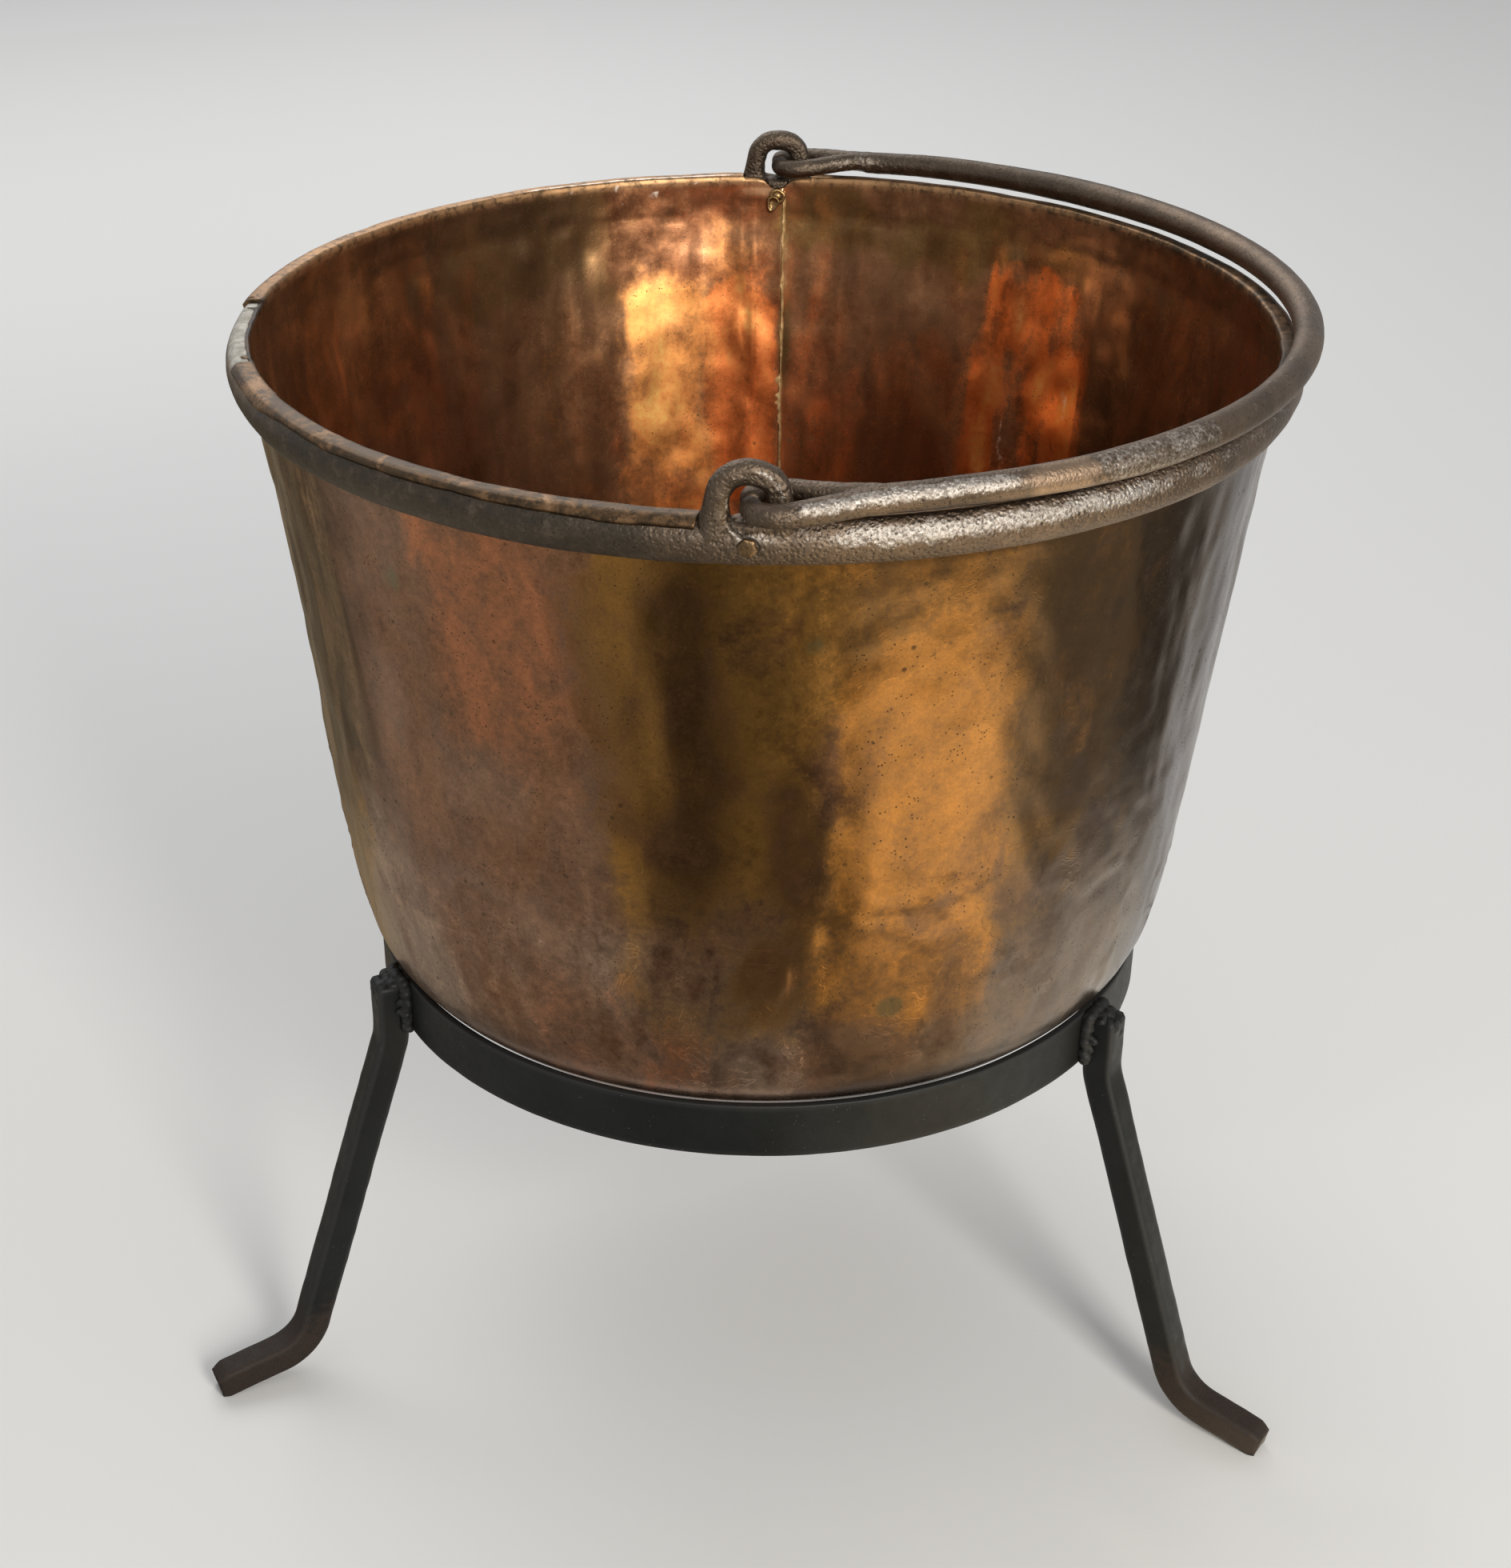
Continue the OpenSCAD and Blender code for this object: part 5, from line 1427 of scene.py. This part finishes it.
def build_leg(node, seed):
    path = leg_path()
    az = LEG_AT[node] * RAD
    n = len(path)
    t = np.gradient(path, axis=0)
    t /= np.linalg.norm(t, axis=1)[:, None]
    out = np.stack([-t[:, 1], t[:, 0]], -1)  # away from the axis and up, in the (r, z) plane
    m = 40
    ang = np.linspace(0, 2 * np.pi, m, endpoint=False) + np.pi / m
    # rounded square
    c, s = np.cos(ang), np.sin(ang)
    k = 1 / np.maximum(np.abs(c), np.abs(s))
    soft = 1 / (np.abs(c) ** 8 + np.abs(s) ** 8) ** (1 / 8)
    sq = np.stack([c * soft, s * soft], -1) * (LEG / 2)
    d = np.r_[0, np.cumsum(np.linalg.norm(np.diff(path, axis=0), axis=1))]
    size = np.ones(n)
    left = d[-1] - d
    # hammered chamfer at the tip, eased top end
    shrink_out = np.where(left < 7, 1 - 0.34 * (1 - left / 7), 1.0)
    shrink_side = np.where(left < 5, 1 - 0.16 * (1 - left / 5), 1.0)
    top = np.clip(d / 1.6, 0, 1)
    ease = 1 - 0.10 * (1 - np.sqrt(np.clip(1 - (1 - top) ** 2, 0, 1)))
    rings = np.zeros((n, m, 3))
    ca, sa = math.cos(az), math.sin(az)
    rad_v, side_v = np.array([ca, sa, 0]), np.array([-sa, ca, 0])
    q = np.stack([d, 0 * d + seed * 7.7, 0 * d], -1)
    sway = 0.5 * vnoise(q / 60, 801 + seed) * step(20, 60, d) * step(4, 40, left)
    # the bends spread the bar a little
    spread = 1 + 0.05 * bell(d, 62, 26) + 0.05 * bell(left, 58, 26)
    for i in range(n):
        yo = sq[:, 1] * ease[i] * size[i]
        yo = np.where(yo > 0, yo * shrink_out[i], yo)
        xo = sq[:, 0] * ease[i] * shrink_side[i] * spread[i] + sway[i]
        r = path[i, 0] + yo * out[i, 0]
        z = path[i, 1] + yo * out[i, 1]
        rings[i] = r[:, None] * rad_v + xo[:, None] * side_v
        rings[i, :, 2] = z
    ob = tube(node + "_bar", rings)
    p = coords(ob)
    nr = normals(ob)
    dsp = 0.22 * fbm(p / 20, 2, 811 + seed) + 0.10 * vnoise(p / 6, 815 + seed) - 0.12
    f1, _ = cells(p / 16, 819 + seed)
    dsp = dsp + 0.35 * (f1 * f1 - 0.35)
    rr = p[:, 0] * ca + p[:, 1] * sa
    against = (1 - step(RING_R + 0.3, RING_R + 1.5, rr)) * step(245, 250, p[:, 2])
    dsp = np.where(against > 0.5, 0, dsp)
    p = p + nr * dsp[:, None]
    p[:, 2] = np.maximum(p[:, 2], 0.0)
    set_coords(ob, p)
    # brighter along the edges of the bar
    idx = np.arange(n * m) % m
    corner = np.abs(np.abs(c[idx]) - np.abs(s[idx]))
    e = np.r_[0.45 * (1 - step(0.10, 0.30, corner)), 0, 0.2]
    attribute(ob, "edge", e)
    ob.data.materials.append(MAT_BLACK)
    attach(ob, "stand")
    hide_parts(node)


def ball_rings(c, r, squash=(1, 1, 1), m=16, n=10):
    th = np.linspace(0.02, np.pi - 0.02, n)
    ph = np.linspace(0, 2 * np.pi, m, endpoint=False)
    x = np.sin(th)[:, None] * np.cos(ph)
    y = np.sin(th)[:, None] * np.sin(ph)
    z = np.cos(th)[:, None] + 0 * ph
    return np.array(c) + r * np.stack([x * squash[0], y * squash[1], z * squash[2]], -1)


def build_weld(node, leg, seed):
    """Runs of weld down both sides of the leg and over its top."""
    az = LEG_AT[leg] * RAD
    ca, sa = math.cos(az), math.sin(az)
    rng = np.random.RandomState(seed)
    parts = []
    top, bottom = RING_TOP, RING_TOP - RING_H

    def add(r0, y, z, rad, sq=(1, 1, 0.8)):
        x = RING_R + r0
        parts.append(ball_rings((x, y, z), rad, sq))

    for sgn in (-1, 1):
        z = bottom + 1.5
        while z < top - 1:
            w = 10.6 + rng.uniform(-0.3, 0.6) - 0.9 * (z > top - 8)
            add(1.6 + rng.uniform(-0.4, 0.8), sgn * w, z, 4.2 + rng.uniform(-0.6, 0.9), (1.0, 0.9, 0.75))
            z += 3.4 + rng.uniform(-0.6, 0.8)
        for _ in range(4):
            add(4.5 + rng.uniform(-1, 2.5), sgn * (10.2 + rng.uniform(-0.4, 0.3)), bottom + rng.uniform(6, 32), 3.0, (1.2, 0.8, 0.9))
    for y in np.arange(-8.5, 9, 3.0):
        add(2.8 + rng.uniform(-0.6, 0.8), y, top - 1.6 + rng.uniform(-0.5, 0.5), 3.9 + rng.uniform(-0.4, 0.5), (1.1, 1, 0.8))
        add(8.8 + rng.uniform(-1, 1.2), y * 0.95, top - 2.6 + rng.uniform(-0.5, 0.3), 3.8 + rng.uniform(-0.5, 0.4), (1.1, 1, 0.7))
    add(14.0, rng.uniform(-4, 4), top - 4.6, 4.2, (1.2, 1.1, 0.6))
    # a shell on the face of the bar under the lumps
    add(17.0, -3.0, top - 9, 4.0, (0.7, 1.3, 1.6))
    add(17.2, 3.5, top - 15, 3.6, (0.6, 1.2, 1.5))
    # turn from the leg's own axes
    turned = []
    for r in parts:
        x, y = r[..., 0], r[..., 1]
        turned.append(np.stack([x * ca - y * sa, x * sa + y * ca, r[..., 2]], -1))
    ob = union_object(node + "_bead", turned)
    remesh(ob, 0.75, 3, 0.5)
    p = coords(ob)
    nr = normals(ob)
    g1, _ = cells(p / 5.0, 901 + seed)
    d = 0.35 * fbm(p / 3.4, 2, 903 + seed) + 0.5 * (0.3 - g1 * g1)
    p = p + nr * d[:, None]
    # nothing inside the hoop, where the kettle stands
    rr = np.hypot(p[:, 0], p[:, 1])
    k = np.maximum(rr, RING_R - 2.0) / np.maximum(rr, 1)
    p[:, 0] *= k
    p[:, 1] *= k
    set_coords(ob, p)
    attribute(ob, "edge", 0.25 + 0.35 * vnoise(p / 3, 905))
    ob.data.materials.append(MAT_BLACK)
    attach(ob, "stand")
    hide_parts(node)


# ------------------------------------------------------------------ make it
build_wall()
build_bottom()
build_seam_braze()
build_bottom_braze()
build_hoop("rim_hoop_left_bar", "rim_hoop_left", 90 + 3.3, 270 - 3.3)
build_hoop("rim_hoop_right_bar", "rim_hoop_right", -90 + 3.3, 90 - 3.3)
build_ear("front_ear_forging", "front_ear", -1)
build_ear("rear_ear_forging", "rear_ear", 1)
build_rivets()
build_bail()
build_stand_hoop()
for k, leg in enumerate(LEG_AT):
    build_leg(leg, k + 1)
    build_weld(leg.replace("leg", "weld"), leg, k + 11)

# ------------------------------------------------------------------ stage, light, camera
floor_n = Nodes("pale_floor")
floor_mat = floor_n.finish((0.70, 0.69, 0.665), 0.85, metallic=0.0, spec=0.25)
me = bpy.data.meshes.new("floor")
S = 14.0
me.from_pydata([(-S, -S, -0.0004), (S, -S, -0.0004), (S, S, -0.0004), (-S, S, -0.0004)], [], [(0, 1, 2, 3)])
floor = bpy.data.objects.new("floor", me)
bpy.context.scene.collection.objects.link(floor)
floor.data.materials.append(floor_mat)

world = bpy.data.worlds.new("studio")
bpy.context.scene.world = world
world.use_nodes = True
bg = world.node_tree.nodes["Background"]
bg.inputs["Color"].default_value = (0.95, 0.965, 1.0, 1)
bg.inputs["Strength"].default_value = 0.55


def area(name, loc, target, size, size_y, power, color=(1, 1, 1)):
    la = bpy.data.lights.new(name, "AREA")
    la.shape = "RECTANGLE"
    la.size = size
    la.size_y = size_y
    la.energy = power
    la.color = color
    ob = bpy.data.objects.new(name, la)
    bpy.context.scene.collection.objects.link(ob)
    ob.location = loc
    d = Vector(target) - Vector(loc)
    ob.rotation_euler = d.to_track_quat("-Z", "Y").to_euler()
    return ob


area("window", (1.24, -2.42, 1.52), (0, 0, 0.5), 0.72, 1.25, 72, (1.0, 0.97, 0.92))
area("sky", (-1.2, 2.6, 2.9), (-0.1, 1.2, 0.0), 3.2, 2.4, 60, (0.95, 0.97, 1.0))



def room_below(u, z):
    """How bright the floor of the room looks where the wall mirrors it from azimuth u and height z."""
    q = np.stack([u / 9.0, z / 60.0, 0 * u], -1)
    u = u + 2.4 * fbm(q, 2, 1001) + 0.7 * fbm(q * 4.5, 2, 1007)
    z = z + 16.0 * fbm(q, 2, 1003)

    def to(level, value, k):
        return level + (value - level) * k

    low = 1 - step(395, 450, z)
    b = 0.55 + 0.20 * step(20, 30, u) + 0.09 * step(500, 560, z) * (1 - step(-10, 0, u))
    b = to(b, 0.31, (1 - step(318, 352, z)) * (1 - step(-2, 7, u)))
    b = to(b, 0.24, 1 - step(-66, -58, u))
    b = to(b, 0.20, 0.95 * band(u, -70, -51.5, 1.2) * step(440, 466, z))
    b = to(b, 0.27, 0.8 * band(u, -20, -9, 3) * band(z, 368, 452, 14))
    b = to(b, 0.05, 0.95 * band(u, -11.0, -3.0, 2.4) * (1 - 0.4 * low))
    b = to(b, 0.14, 0.95 * band(u, -3.0, 3.0, 2.4) * (1 - 0.25 * low))
    b = to(b, 0.27, 0.95 * band(u, 3.0, 10.5, 2.0) * (1 - 0.25 * low) * (0.3 + 0.7 * step(310, 345, z)))
    b = to(b, 0.12, 0.45 * band(u, 3.0, 9.5, 1.6) * band(z, 380, 525, 16))
    b = to(b, 0.56, band(u, 27, 47, 3) * step(450, 500, z))
    b = to(b, 0.36 - 0.24 * step(500, 560, z), band(u, 47, 58.5, 1.6) * step(446, 474, z))
    b = to(b, 1.50, band(u, 29, 68, 4) * low)
    left = 9.0 + 3.0 * (1 - step(455, 515, z))
    b = b + 4.1 * step(0.0, 3.4, u - left) * (1 - step(25.5, 34.5, u)) * band(z, 426, 582 + 24 * step(20, 27, u), 17) * (0.94 + 0.30 * vnoise(q * 5.5, 1009))
    b = b + 0.95 * band(u, 9.5, 30, 3.2) * band(z, 580, 672, 17)
    b = b + 1.6 * band(u, 9.0, 31.5, 2.6) * band(z, 299, 436, 12) * (0.6 + 0.8 * vnoise(q * 4, 1005))
    return b


def room_card():
    """A dim card on the studio floor that only mirrors see: the unlit room around the sheet, one lit patch in it."""
    az = np.arange(-172.0, 114.1, 1.5)
    r = np.r_[np.arange(0.28, 1.2, 0.02), np.linspace(1.2, 4.0, 8)]
    A, R = np.meshgrid(az, r, indexing="ij")
    z = np.interp(R, [0.28, 0.476, 0.58, 0.672, 0.742, 0.795, 0.868, 0.917, 1.005, 1.052, 1.2],
                  [275, 330, 360, 400, 440, 480, 520, 560, 600, 630, 680])
    b = room_below(A / 1.93, z)
    # the outer edges of the card are as bright as the floor
    rim = step(0.28, 0.33, R) * (1 - step(106, 113, A)) * step(-172, -160, A)
    b = 0.72 + (b - 0.72) * rim
    P = np.stack([R * np.sin(A * RAD), -R * np.cos(A * RAD), 0.002 + 0 * R], -1)
    plate = bpy.data.meshes.new("room_card")
    plate.from_pydata(P.reshape(-1, 3).tolist(), [], grid_faces(len(az), len(r)).tolist())
    ob = bpy.data.objects.new("room_card", plate)
    bpy.context.scene.collection.objects.link(ob)
    attribute(ob, "level", b.ravel() / 8.0)
    attribute(ob, "warm", np.maximum(band(A / 1.93, 8, 30, 3), 1 - step(-60, -50, A / 1.93)).ravel())
    n = Nodes("room_card_light")
    n.t.nodes.remove(n.bsdf)
    e = n.t.nodes.new("ShaderNodeEmission")
    n.put(e.inputs["Color"], n.mix(n.attr("warm"), (1.0, 0.955, 0.84), (1.0, 0.84, 0.58)))
    n.put(e.inputs["Strength"], n.math("MULTIPLY", n.attr("level"), 8.0))
    n.t.links.new(e.outputs[0], n.out.inputs[0])
    n.mat.cycles.emission_sampling = "NONE"
    plate.materials.append(n.mat)
    ob.visible_camera = ob.visible_diffuse = ob.visible_shadow = ob.visible_transmission = False


room_card()

cam_data = bpy.data.cameras.new("photo_view")
cam_data.sensor_fit = "AUTO"
cam_data.sensor_width = 36.0
cam_data.lens = 3200.0 * 36.0 / 1960.0
cam_data.clip_start = 0.05
cam_data.clip_end = 100.0
cam = bpy.data.objects.new("photo_view", cam_data)
bpy.context.scene.collection.objects.link(cam)
yaw, pitch, roll = -0.0103, 0.5004, 0.0101
fwd = Vector((math.sin(yaw) * math.cos(pitch), math.cos(yaw) * math.cos(pitch), -math.sin(pitch)))
right = Vector((math.cos(yaw), -math.sin(yaw), 0))
up = right.cross(fwd)
r2 = math.cos(roll) * right + math.sin(roll) * up
u2 = -math.sin(roll) * right + math.cos(roll) * up
rot = Matrix.Rotation(0.91 * RAD, 3, "Z")
r2, u2, fw = rot @ r2, rot @ u2, rot @ fwd
m3 = Matrix((r2, u2, -fw)).transposed()
cam.matrix_world = Matrix.Translation(Vector((0.0346, -1.4377, 1.1457))) @ m3.to_4x4()
bpy.context.scene.camera = cam

vs = bpy.context.scene.view_settings
vs.view_transform = "Standard"
vs.look = "None"
vs.exposure = 0.0
vs.gamma = 1.0
